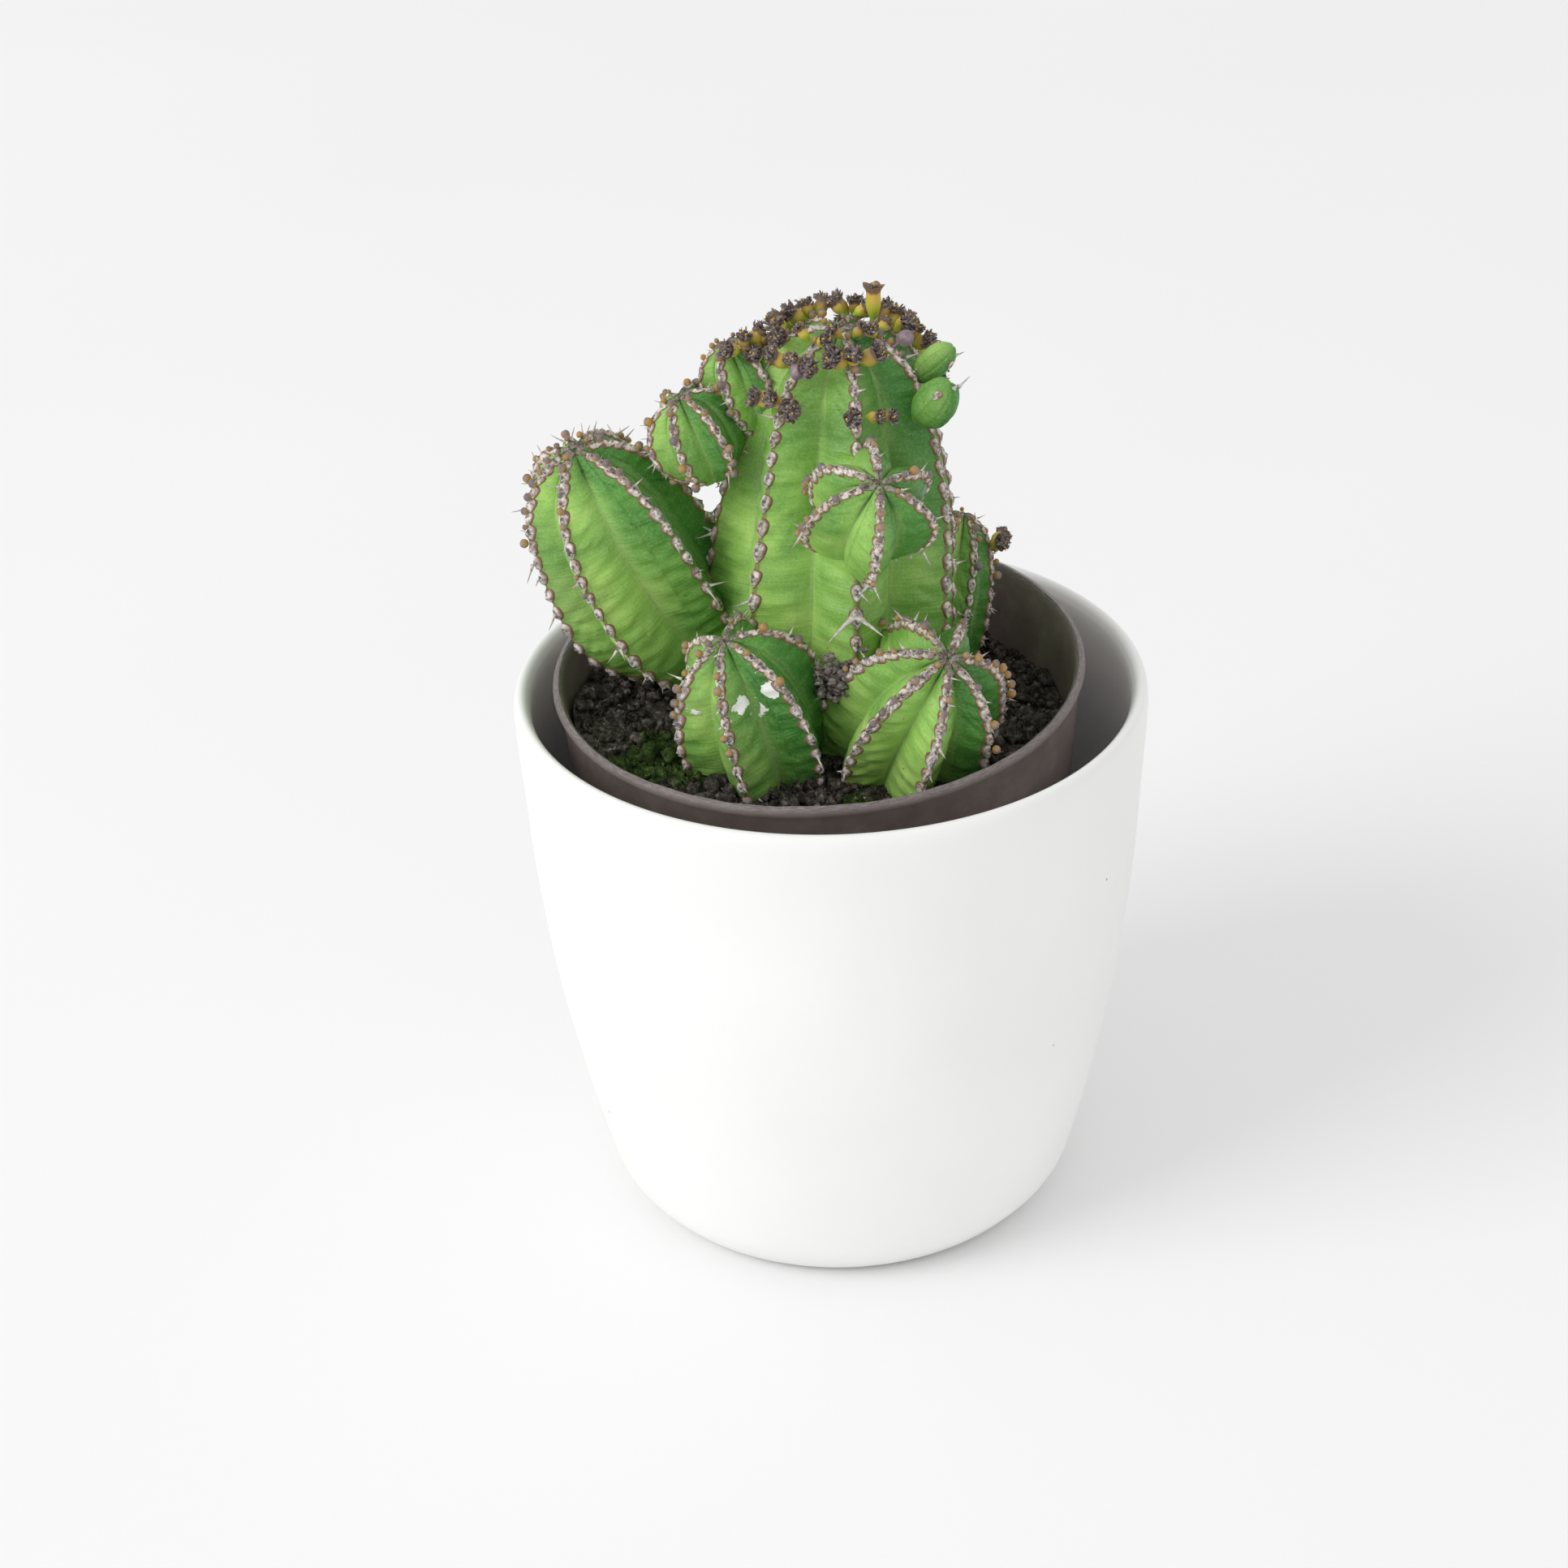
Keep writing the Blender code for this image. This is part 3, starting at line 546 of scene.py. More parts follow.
def living_surface(name, t, azimuth):
    """Finished skin of a stem with its swellings: points, outward directions and details, in mm."""
    stem = STEMS[name]
    valley, fold = valley_share(stem, azimuth)
    points = stem_surface(stem, t, azimuth, valley)
    seed = sum(map(ord, name))
    drop, share = outline_at(stem["outline"], t)
    middle = axis_frame(stem, 1 - drop)[0]
    out = points - middle
    out /= np.maximum(np.linalg.norm(out, axis=-1, keepdims=True), 1e-6)
    size = min(1.0, stem["radius"] / 16)
    swell = np.zeros(np.shape(t))
    arc = np.zeros(np.shape(t))
    for index, rib in enumerate(stem["ribs"]):
        line_t, _, line_arc, _, _, _ = crest_line(name, index)
        near = np.abs((azimuth - rib + 180) % 360 - 180) / 25.0
        weight = np.exp(-(near / 0.34) ** 2)
        here = np.interp(t, line_t, line_arc)
        bumps = sum(np.exp(-((here - at) / 1.35) ** 2) for at in shield_arcs(name, index))
        dips = np.cos(2 * np.pi * here / 3.4 + index) * np.exp(-((near - 0.42) / 0.26) ** 2)
        swell += weight * size * (0.85 * bumps - 0.35) + 0.16 * size * dips * np.clip(here / 12, 0, 1)
        arc = here if index == 0 else arc
    wobble = (np.sin(0.09 * points[..., 0] + 0.13 * points[..., 2] + seed)
              + np.sin(0.17 * points[..., 1] - 0.11 * points[..., 2] + 2 * seed))
    face = np.floor((azimuth - min(stem["ribs"])) / 51.0)
    ripple = np.sin(arc * 1.05 + 2.2 * np.sin(face * 2.3 + seed + 0.1 * arc) + 3.0 * fold)
    ripple = np.sign(ripple) * np.abs(ripple) ** 0.7 * np.sin(np.pi * fold) ** 2 * np.clip(share, 0, 1)
    cleft = np.exp(-((1 - fold) / 0.13) ** 2) * np.exp(-(arc / 13.0) ** 2) * np.clip(arc / 2.0, 0, 1)
    healed = np.sin(1.9 * (arc * 0.8 + 9.0 * fold) + 1.3 * np.sin(0.5 * arc + seed))
    healed = -np.clip(healed - 0.72, 0, 1) * np.sin(np.pi * np.clip(fold * 1.1, 0, 1)) ** 2
    healed *= np.clip(np.sin(0.11 * arc * (1 + face % 3) + seed + face) - 0.1, 0, 1)
    offset = swell + (0.42 * wobble + 0.30 * ripple + 2.6 * healed) * size - 1.1 * cleft * size
    offset = offset * np.clip(share / 0.3, 0, 1)
    return points + out * offset[..., None], out, fold, share, arc, face


def stem_piece(name, stem, material):
    """The whole skin of one stem as a fine ribbed loft."""
    ribs = sorted(stem["ribs"])
    azimuths = []
    for rib, following in zip(ribs, ribs[1:] + [ribs[0] + 360]):
        even = np.arange(RIB_SAMPLES) / RIB_SAMPLES
        shares = 0.5 * (1 - np.cos(np.pi * even)) / 2 + 0.5 * even
        azimuths.extend(rib + (following - rib) * shares)
    azimuths = np.array(azimuths)
    length = crest_line(name, 0)[2][-1]
    rows = max(24, int(length * ROWS_PER_MM))
    grid_t, grid_a = np.meshgrid(0.02 + 0.98 * np.linspace(0, 1, rows), azimuths, indexing="ij")
    points, out, fold, share, arc, face = living_surface(name, grid_t, grid_a)
    # painted light and shade: skin facing left is painted paler and skin facing right darker; this goes into the age
    # value
    painted_light_side = np.clip(0.75 * (0.14 - 1.3 * out[..., 0] - 0.2 * out[..., 1]), -0.6, 0.45)
    fold = np.full_like(fold, 0.4) if name in PUPS else fold
    count = len(azimuths)
    vertices = points.reshape(-1, 3).tolist()
    apex = stem_surface(stem, np.array([0.0]), np.array([0.0]), np.array([0.0]))[0]
    vertices += [apex.tolist(), list(stem["base"])]
    faces = []
    for row in range(rows - 1):
        for c in range(count):
            n = (c + 1) % count
            faces.append((row * count + c, (row + 1) * count + c, (row + 1) * count + n, row * count + n))
    top, bottom = len(vertices) - 2, len(vertices) - 1
    end = (rows - 1) * count
    for c in range(count):
        n = (c + 1) % count
        faces.append((top, c, n))
        faces.append((end + c, bottom, end + n))
    skin = np.stack([fold * stem["radius"] * share * 0.45, arc, face * 7.0], -1).reshape(-1, 3)
    latex = np.full(rows * count, -1.0)
    if name == "front_left_offset":
        flat = points.reshape(-1, 3)
        for centre, reach in SAP_SPLASHES:
            distance = np.linalg.norm(flat - np.array(centre), axis=1)
            latex = np.maximum(latex, 0.60 - 0.16 * np.maximum(distance - reach * 0.5, 0) - 0.02 * distance)
    # cleft marks the deep valleys near the apex, which the skin material paints dark as painted shade
    cleft = np.exp(-((1 - fold) / 0.10) ** 2) * np.exp(-((arc - 3) / 10.0) ** 2)
    # the age value holds darker young skin near the apex plus the painted light and shade of the two sides
    values = {"fold": np.append(fold.ravel(), (0.5, 0.5)), "cleft": np.append(cleft.ravel(), (1, 0)),
              "age_and_painted_light": np.append(np.clip(np.clip(grid_t * (24.0 + 0.8 * length) / 80.0, 0, 1) + painted_light_side, 0, 1).ravel(), (0, 1)),
              "skin": np.vstack([skin, [0, 0, 0], [0, 0, 0]]),
              "latex": np.append(latex, (-1, -1))}
    obj = finished_mesh(name + "_skin", vertices, faces, material, values)
    return place(obj, "waxy_skin", name)


SAP_SPLASHES = (((-12.0, -39.0, 146.0), 2.4), ((-18.5, -39.5, 143.0), 3.0), ((-15.2, -39.0, 140.8), 2.6),
                ((-22.6, -42.5, 140.5), 2.0), ((-14.0, -38.0, 150.8), 1.2), ((-29.0, -35.4, 139.2), 0.9))
plain_skin = waxy_skin("waxy_green_skin")
sap_marked_skin = waxy_skin("waxy_green_skin_with_dried_sap", latex=True)
for stem_name, stem in STEMS.items():
    stem_piece(stem_name, stem, sap_marked_skin if stem_name == "front_left_offset" else plain_skin)


# ---------------------------------------------------------------- spine shields and buds
# Every rib is capped by a chain of corky shields, leaf shaped, pinkish beige with a brown outline and
# dark pits. Between the young ones sit round buds, orange at the foot and grey at the tip.
SHIELD_U = 15
SHIELD_V = 11
BUD_STEMS = {"left_stem": 0.42, "upper_left_branch": 0.8, "upper_left_rear": 0.7, "centre_branch": 0.62,
             "front_left_offset": 0.42, "front_right_offset": 0.42, "main_stem": 0.12,
             "back_left_offset": 0.3, "back_right_offset": 0.3}


def corky_shield():
    """Cork: matt pinkish beige plates, rough, with a brown edge line and nearly black pits."""
    material, tree, shader = new_material("corky_beige_shield")
    spot = add(tree, "ShaderNodeTexCoord").outputs["Object"]
    rim = add(tree, "ShaderNodeAttribute", attribute_name="rim").outputs["Fac"]
    pit = add(tree, "ShaderNodeAttribute", attribute_name="pit").outputs["Fac"]
    tint = add(tree, "ShaderNodeAttribute", attribute_name="tint").outputs["Fac"]
    grain = add(tree, "ShaderNodeTexNoise", {"Vector": spot, "Scale": 850.0, "Detail": 5.0,
                                             "Roughness": 0.7}).outputs["Fac"]
    cork = mix(tree, tint, ramp(tree, grain, ((0.36, "#6b5a51"), (0.47, "#b5a294"), (0.6, "#efe5d9"))),
               ramp(tree, grain, ((0.36, "#655c5d"), (0.47, "#b3a8a6"), (0.6, "#f0eae5"))))
    edged = mix(tree, ramp(tree, rim, ((0.62, 0.0), (0.84, 0.8), (1.0, 1.0))), cork, "#7c5638")
    dark = ramp(tree, pit, ((0.22, 0.0), (0.62, 0.85)))
    tree.links.new(mix(tree, dark, edged, "#40352f"), shader.inputs["Base Color"])
    shader.inputs["Roughness"].default_value = 0.78
    bump = add(tree, "ShaderNodeBump", {"Height": grain, "Strength": 0.6, "Distance": 0.0002})
    tree.links.new(bump.outputs["Normal"], shader.inputs["Normal"])
    return material


def sphere_rows(rings, segments):
    """Unit directions of a ball, pole to pole, and its faces."""
    directions = [(0, 0, 1)]
    for ring in range(1, rings):
        polar = math.pi * ring / rings
        for c in range(segments):
            turn = 2 * math.pi * c / segments
            directions.append((math.sin(polar) * math.cos(turn), math.sin(polar) * math.sin(turn),
                               math.cos(polar)))
    directions.append((0, 0, -1))
    faces = []
    last = len(directions) - 1
    for c in range(segments):
        n = (c + 1) % segments
        faces.append((0, 1 + c, 1 + n))
        for ring in range(rings - 2):
            a, b = 1 + ring * segments, 1 + (ring + 1) * segments
            faces.append((a + c, b + c, b + n, a + n))
        faces.append((last, last - segments + n, last - segments + c))
    return np.array(directions), faces


def gather(pieces):
    """One vertex list, face list and value table from many small (vertices, faces, values) pieces."""
    vertices, faces, values, start = [], [], {}, 0
    for points, piece_faces, piece_values in pieces:
        vertices.append(points)
        faces.extend(tuple(i + start for i in face) for face in piece_faces)
        for key, data in piece_values.items():
            values.setdefault(key, []).append(data)
        start += len(points)
    return np.vstack(vertices), faces, {key: np.concatenate(data) for key, data in values.items()}


def one_shield(name, rib, at, length, width, seed):
    """Leaf-shaped plate wrapped over a crest: a closed lens whose lower side sinks in the skin."""
    stem = STEMS[name]
    line_t, _, line_arc, _, _, _ = crest_line(name, rib)
    u, v = np.meshgrid(np.linspace(-1, 1, SHIELD_U), np.linspace(-1, 1, SHIELD_V), indexing="ij")
    uneven = 0.12 * math.sin(seed * 1.7)
    half = width / 2 * np.clip(1 - np.abs(u) ** 2.3, 0, 1) ** 0.8 * (1 + (uneven - 0.28) * u)
    half = np.maximum(half, 0.02)
    t = np.interp(at + u * length / 2, line_arc, line_t)
    _, share = outline_at(stem["outline"], t)
    azimuth = stem["ribs"][rib] + np.degrees(v * half / np.maximum(share * stem["radius"], 1.2))
    points, out, _, _, _, _ = living_surface(name, t, azimuth)
    reach = np.maximum(np.abs(v), np.abs(u) ** 1.5)
    body = np.clip(1 - np.maximum(np.abs(v), np.abs(u)) ** 3, 0, 1)
    pits = np.zeros(u.shape)
    random_spots = random.Random(seed)
    for centre in ((-0.30, 0.0, 0.20), (0.22, random_spots.uniform(-0.2, 0.2), 0.15),
                   (-0.02, random_spots.uniform(-0.45, 0.45), 0.12)):
        pits = np.maximum(pits, np.exp(-((u - centre[0]) ** 2 + (0.6 * (v - centre[1])) ** 2) / centre[2]**2))
    crumple = 0.10 * np.sin(7 * u + seed) * np.cos(5 * v + 2 * seed)
    ridge = 0.16 * np.exp(-((reach - 0.72) / 0.16) ** 2)
    height = body * (0.38 + crumple + ridge - 0.30 * pits) * min(1.0, width / 2.3) + 0.04
    over = points + out * height[..., None]
    under = points - out * 0.35
    count = SHIELD_U * SHIELD_V
    vertices = np.vstack([over.reshape(-1, 3), under.reshape(-1, 3)])
    faces = []
    for i in range(SHIELD_U - 1):
        for j in range(SHIELD_V - 1):
            a = i * SHIELD_V + j
            faces.append((a, a + SHIELD_V, a + SHIELD_V + 1, a + 1))
            faces.append((count + a, count + a + 1, count + a + SHIELD_V + 1, count + a + SHIELD_V))
    edge = ([i * SHIELD_V for i in range(SHIELD_U)] + [(SHIELD_U - 1) * SHIELD_V + j for j in range(1, SHIELD_V)]
            + [i * SHIELD_V + SHIELD_V - 1 for i in range(SHIELD_U - 2, -1, -1)]
            + [j for j in range(SHIELD_V - 2, 0, -1)])
    for a, b in zip(edge, edge[1:] + edge[:1]):
        faces.append((a, count + a, count + b, b))
    rim = np.tile(np.maximum(np.abs(v), np.abs(u) ** 2.5).ravel(), 2)
    pit = np.maximum(np.tile(pits.ravel(), 2) * random_spots.uniform(0.55, 1.0), 0.5 * (at < 3.0))
    tint = np.full(2 * count, random_spots.random() * 0.8 + (0.2 if at > 14 else 0.0))
    return vertices, faces, {"rim": rim, "pit": pit, "tint": tint}


def shield_sites(name):
    """(rib, arc, t, point, outward, down, side) of every shield of a stem that is in the open."""
    stem = STEMS[name]
    sites = []
    for rib in range(len(stem["ribs"])):
        line_t, points, line_arc, outward, down, side = crest_line(name, rib)
        arcs = shield_arcs(name, rib)
        spots = np.stack([np.interp(arcs, line_arc, points[:, k]) for k in range(3)], 1)
        open_air = ~hidden(spots, name)
        for at, spot, seen in zip(arcs, spots, open_air):
            if seen and at < line_arc[-1] - 1.0:
                k = int(np.searchsorted(line_arc, at))
                sites.append((rib, at, line_t[k], spot, outward[k], down[k], side[k]))
    return sites


def round_bud():
    """Flower bud: satin, orange brown at the foot fading to grey at its scaly tip."""
    material, tree, shader = new_material("orange_grey_bud")
    tip = add(tree, "ShaderNodeAttribute", attribute_name="tip").outputs["Fac"]
    spot = add(tree, "ShaderNodeTexCoord").outputs["Object"]
    cloud = add(tree, "ShaderNodeTexNoise", {"Vector": spot, "Scale": 900.0, "Detail": 3.0}).outputs["Fac"]
    blurred = add(tree, "ShaderNodeMath", {0: cloud, 1: 0.7, 2: tip}, operation="MULTIPLY_ADD").outputs[0]
    colour = ramp(tree, blurred, ((0.45, "#c0913f"), (0.75, "#a98550"), (0.95, "#94847b"), (1.3, "#7a6e70")))
    tree.links.new(colour, shader.inputs["Base Color"])
    shader.inputs["Roughness"].default_value = 0.5
    bump = add(tree, "ShaderNodeBump", {"Height": cloud, "Strength": 0.5, "Distance": 0.0002})
    tree.links.new(bump.outputs["Normal"], shader.inputs["Normal"])
    return material


shield_material = corky_shield()
bud_material = round_bud()
bud_directions, bud_faces = sphere_rows(9, 12)
sites = {name: shield_sites(name) for name in STEMS}
for stem_name, stem in STEMS.items():
    scale = min(1.0, 0.55 + stem["radius"] / 40)
    plates = []
    for rib, at, t, spot, outward, down, side in sites[stem_name]:
        grown = min(1.0, 0.42 + at / 18)
        if stem_name in PUPS and (rib != PUPS[stem_name] or not 3.5 < at < 6.5):
            continue
        odd = 0.88 + 0.24 * ((rib * 5 + int(at * 3)) % 7) / 6
        plates.append(one_shield(stem_name, rib, at, (1.7 + 2.7 * grown) * scale * odd,
                                 (1.3 + 1.7 * grown) * scale * odd, rib * 31 + int(at * 10)))
    if plates:
        vertices, faces, values = gather(plates)
        place(finished_mesh(stem_name + "_shields", vertices, faces, shield_material, values), "waxy_skin")
    buds = []
    for rib, at, t, spot, outward, down, side in sites[stem_name]:
        share_down = at / crest_line(stem_name, rib)[2][-1]
        if share_down > BUD_STEMS.get(stem_name, 0.0) or rng.random() < 0.38:
            continue
        radius = rng.uniform(0.55, 0.95) * (0.75 if at < 4 else 1.0)
        halfway = (1.25 + 0.035 * at) * rng.uniform(0.9, 1.1)
        centre = spot + down * halfway + side * rng.uniform(-0.4, 0.4) + outward * (radius * 0.8)
        tips = bud_directions @ outward * 0.5 + 0.5
        lumps = 1 + 0.06 * np.sin(5 * np.arctan2(bud_directions @ side, bud_directions @ down))
        points = centre + bud_directions * (radius * lumps * (1 + 0.16 * tips))[:, None]
        buds.append((points, bud_faces, {"tip": tips * rng.uniform(0.45, 1.0)}))
    if buds:
        vertices, faces, values = gather(buds)
        place(finished_mesh(stem_name + "_buds", vertices, faces, bud_material, values), "dried_flower")


# ---------------------------------------------------------------- spines
# Short woody spines stand in diverging pairs on the older shields. They are the hardened grey
# stalks of last year's flowers and leaf scales: thick at the root, dark at the point.
SPINE_SIDES = 7
SPINE_ROWS = 7


def woody_spine():
    """Dry wood: grey beige, fibrous along its length, brown towards the point."""
    material, tree, shader = new_material("dry_grey_spine")
    tip = add(tree, "ShaderNodeAttribute", attribute_name="tip").outputs["Fac"]
    spot = add(tree, "ShaderNodeTexCoord").outputs["Object"]
    fibre = add(tree, "ShaderNodeTexNoise", {"Vector": spot, "Scale": 1200.0, "Detail": 3.0}).outputs["Fac"]
    body = ramp(tree, fibre, ((0.3, "#aca09a"), (0.55, "#d2c9c3"), (0.75, "#ece6e0")))
    colour = mix(tree, ramp(tree, tip, ((0.45, 0.0), (1.0, 0.85))), body, "#6b5a54")
    tree.links.new(colour, shader.inputs["Base Color"])
    shader.inputs["Roughness"].default_value = 0.62
    bump = add(tree, "ShaderNodeBump", {"Height": fibre, "Strength": 0.4, "Distance": 0.0002})
    tree.links.new(bump.outputs["Normal"], shader.inputs["Normal"])
    return material


def tapered_horn(start, direction, length, radius, bend, seed):
    """Curved tapering horn with a swollen root and a fine point."""
    along = np.array(direction) / np.linalg.norm(direction)
    helper = np.array([0.0, 0.0, 1.0]) if abs(along[2]) < 0.9 else np.array([1.0, 0, 0])
    across = np.cross(along, helper)
    across /= np.linalg.norm(across)
    back = np.cross(along, across)
    rows = []
    for k in range(SPINE_ROWS):
        f = k / SPINE_ROWS
        centre = start + along * length * f + np.array(bend) * f * f
        girth = radius * ((1 - f) ** 0.8 * (0.55 + 0.45 * math.exp(-f * 5)) + 0.03)
        for c in range(SPINE_SIDES):
            turn = 2 * math.pi * c / SPINE_SIDES
            knot = 1 + 0.14 * math.sin(3 * turn + seed + 2 * k)
            rows.append(centre + (across * math.cos(turn) + back * math.sin(turn)) * girth * knot)
    rows.append(start + along * length + np.array(bend))
    rows.append(np.array(start))
    tip, root = len(rows) - 2, len(rows) - 1
    faces = []
    for c in range(SPINE_SIDES):
        n = (c + 1) % SPINE_SIDES
        for k in range(SPINE_ROWS - 1):
            a, b = k * SPINE_SIDES, (k + 1) * SPINE_SIDES
            faces.append((a + c, a + n, b + n, b + c))
        end = (SPINE_ROWS - 1) * SPINE_SIDES
        faces.append((end + c, end + n, tip))
        faces.append((n, c, root))
    shade = [k / SPINE_ROWS for k in range(SPINE_ROWS) for _ in range(SPINE_SIDES)] + [1.0, 0.0]
    return np.array(rows), faces, {"tip": np.array(shade)}


spine_material = woody_spine()
PUP_SPINES = {"shoulder_pup": ((2, 130, 3.6), (1, 60, 1.8)), "shoulder_pup_upper": ((2, 150, 2.6),)}  # rib, row, length
CROWN_SPINES = (((2.6, 2.0, 208.2), (0.22, -0.1, 1.0), 5.0), ((8.4, 1.5, 207.2), (0.75, -0.3, 0.75), 5.2),
                ((-0.5, 2.6, 207.8), (-0.6, -0.3, 0.8), 3.4))  # root, direction, length
BIG_SPINE_SPOT = np.array((5.6, -24.2, 156.5))  # the large white forked spine low on the front rib
for stem_name, stem in STEMS.items():
    horns = []
    small = min(1.0, stem["radius"] / 15)
    for number, (rib, at, t, spot, outward, down, side) in enumerate(sites[stem_name]):
        if at < 3 or rng.random() < 0.42 or stem_name in PUPS:
            continue
        reach = min(1.0, at / 26)
        long_one = rng.random() < 0.42
        for hand in (-1, 1):
            if rng.random() < 0.3:
                continue
            length = (0.9 + 1.3 * reach * rng.random() + long_one * (1.2 + 2.2 * reach * rng.random())) * small
            radius = (0.22 + 0.12 * reach + 0.13 * long_one) * small
            lean = outward + side * hand * rng.uniform(0.4, 1.1) + down * rng.uniform(-0.2, 0.8)
            bend = (outward * 0.25 - down * 0.15) * length * rng.uniform(0.1, 0.4)
            start = spot + outward * 0.25 + side * hand * 0.45 - down * 0.4
            horns.append(tapered_horn(start, lean, length, radius, bend, number))
    if stem_name == "main_stem":
        for root, lean, length in CROWN_SPINES:
            horns.append(tapered_horn(np.array(root), lean, length, 0.38, (0.3, 0, 0), 4))
        knob = BIG_SPINE_SPOT + (0.0, -0.9, -0.6)
        white = 0.35  # keeps the dark point shading off these two
        for lean, length, radius in (((-0.85, -0.45, -0.62), 8.2, 1.0), ((0.95, -0.5, -0.5), 8.0, 1.0),
                                     ((0.1, -0.8, 0.6), 2.4, 0.75), ((0.0, -0.6, 1.0), 3.4, 1.15)):
            points, faces, values = tapered_horn(knob, lean, length, radius, (0, 0, -0.6), 5)
            horns.append((points, faces, {"tip": values["tip"] * white}))
    for rib, row, length in PUP_SPINES.get(stem_name, ()):
        _, points, _, outward, down, side = crest_line(stem_name, rib)
        horns.append(tapered_horn(points[row], outward[row] + (0, 0, 0.4), length, 0.5, (0, 0, 0), 3))
    if horns:
        vertices, faces, values = gather(horns)
        place(finished_mesh(stem_name + "_spines", vertices, faces, spine_material, values), "waxy_skin")


# ---------------------------------------------------------------- dried flowers
# Cyathia: small fleshy yellow-green urns, three in a row across a rib. The flower inside has dried
# to a crumpled grey-brown tuft with a few yellow grains of pollen.
CYMES = {  # piece: (CAD nodes), ((stem, rib, t, urns, size, lift), ...)
    "tall_crown_flower_urn": (("tall_crown_flower",), (("main_stem", 4, 0.19, "single", 1.0, 1.2),)),
    "crown_flowers_right": (
        tuple(f"crown_flower_right_{n}" for n in range(1, 7)),
        (("main_stem", 4, 0.27, "triple", 1.1, 0.7), ("main_stem", 4, 0.345, "triple", 1.0, 0.4),
         ("main_stem", 4, 0.42, "double", 0.95, 0.2), ("main_stem", 5, 0.26, "triple", 1.0, 0.6),
         ("main_stem", 5, 0.36, "double", 1.0, 0.3), ("main_stem", 3, 0.42, "triple", 0.95, 0.1))),
    "crown_flowers_left": (
        tuple(f"crown_flower_left_{n}" for n in range(1, 5)),
        (("main_stem", 0, 0.27, "triple", 1.0, 0.6), ("main_stem", 6, 0.24, "triple", 1.0, 0.7),
         ("main_stem", 6, 0.33, "triple", 1.05, 0.6), ("main_stem", 6, 0.42, "double", 1.0, 0.3),
         ("main_stem", 0, 0.36, "double", 1.0, 0.4), ("main_stem", 5, 0.17, "double", 0.8, 0.9),
         ("main_stem", 3, 0.2, "double", 0.75, 0.8))),
    "crown_flowers_front": (
        tuple(f"crown_flower_front_{n}" for n in range(1, 6)),
        (("main_stem", 1, 0.32, "triple", 1.0, 0.2), ("main_stem", 1, 0.42, "triple", 1.1, 0.0),
         ("main_stem", 2, 0.29, "triple", 1.15, 0.2), ("upper_left_rear", 2, 0.3, "triple", 0.95, 0.2),
         ("main_stem", 0, 0.46, "double", 0.95, 0.1), ("main_stem", 2, 0.17, "double", 0.75, 0.6),
         ("main_stem", 1, 0.22, "double", 0.8, 0.5))),
    "shelf_flowers": (("shelf_flower",), (("main_stem", 2, 0.435, "row", 1.0, 0.0),)),
    "back_right_flowers": (("back_right_flower",), (("back_right_offset", 3, 0.36, "triple", 0.9, 0.2),)),
}
URN_LENGTH = 4.4
URN_MOUTH = 2.15
URN_SHAPE = ((0.0, 0.30), (0.12, 0.36), (0.3, 0.60), (0.5, 0.74), (0.68, 0.70), (0.82, 0.68), (0.93, 0.86),
             (1.0, 1.04), (0.96, 0.90), (0.86, 0.60), (0.84, 0.1))


def fleshy_urn():
    """Fleshy bract cup: satin yellow green, ochre at the mouth, with a grey-brown withered edge."""
    material, tree, shader = new_material("yellow_green_urn")
    tip = add(tree, "ShaderNodeAttribute", attribute_name="tip").outputs["Fac"]
    tint = add(tree, "ShaderNodeAttribute", attribute_name="tint").outputs["Fac"]
    spot = add(tree, "ShaderNodeTexCoord").outputs["Object"]
    cloud = add(tree, "ShaderNodeTexNoise", {"Vector": spot, "Scale": 500.0, "Detail": 3.0}).outputs["Fac"]
    blurred = add(tree, "ShaderNodeMath", {0: cloud, 1: 0.35, 2: tip}, operation="MULTIPLY_ADD").outputs[0]
    fresh = ramp(tree, blurred, ((0.25, "#86ad34"), (0.6, "#c3c445"), (0.95, "#d6b04c"), (1.15, "#8a6f58")))
    old = ramp(tree, blurred, ((0.25, "#9aa63a"), (0.55, "#c2a33e"), (0.85, "#a98350"), (1.1, "#6d5d54")))
    tree.links.new(mix(tree, tint, fresh, old), shader.inputs["Base Color"])
    shader.inputs["Roughness"].default_value = 0.5
    shader.inputs["Subsurface Weight"].default_value = 0.1
    shader.inputs["Subsurface Radius"].default_value = (0.001, 0.0012, 0.0003)
    bump = add(tree, "ShaderNodeBump", {"Height": cloud, "Strength": 0.5, "Distance": 0.0003})
    tree.links.new(bump.outputs["Normal"], shader.inputs["Normal"])
    return material


def withered_tuft():
    """Papery dead petals and stamens: matt, grey to brown black."""
    material, tree, shader = new_material("withered_grey_tuft")
    spot = add(tree, "ShaderNodeTexCoord").outputs["Object"]
    cloud = add(tree, "ShaderNodeTexNoise", {"Vector": spot, "Scale": 1100.0, "Detail": 4.0,
                                             "Roughness": 0.75}).outputs["Fac"]
    body = ramp(tree, cloud, ((0.32, "#4a4342"), (0.48, "#7f7472"), (0.62, "#ada09b"), (0.78, "#d6c9ba")))
    tree.links.new(body, shader.inputs["Base Color"])
    shader.inputs["Roughness"].default_value = 0.9
    bump = add(tree, "ShaderNodeBump", {"Height": cloud, "Strength": 0.9, "Distance": 0.0004})
    tree.links.new(bump.outputs["Normal"], shader.inputs["Normal"])
    return material


def frame_on(direction):
    """Rotation matrix whose third column is direction."""
    along = np.array(direction, float) / np.linalg.norm(direction)
    helper = np.array([0.0, 0.0, 1.0]) if abs(along[2]) < 0.9 else np.array([1.0, 0.0, 0.0])
    across = np.cross(helper, along)
    across /= np.linalg.norm(across)
    return np.stack([across, np.cross(along, across), along], 1)


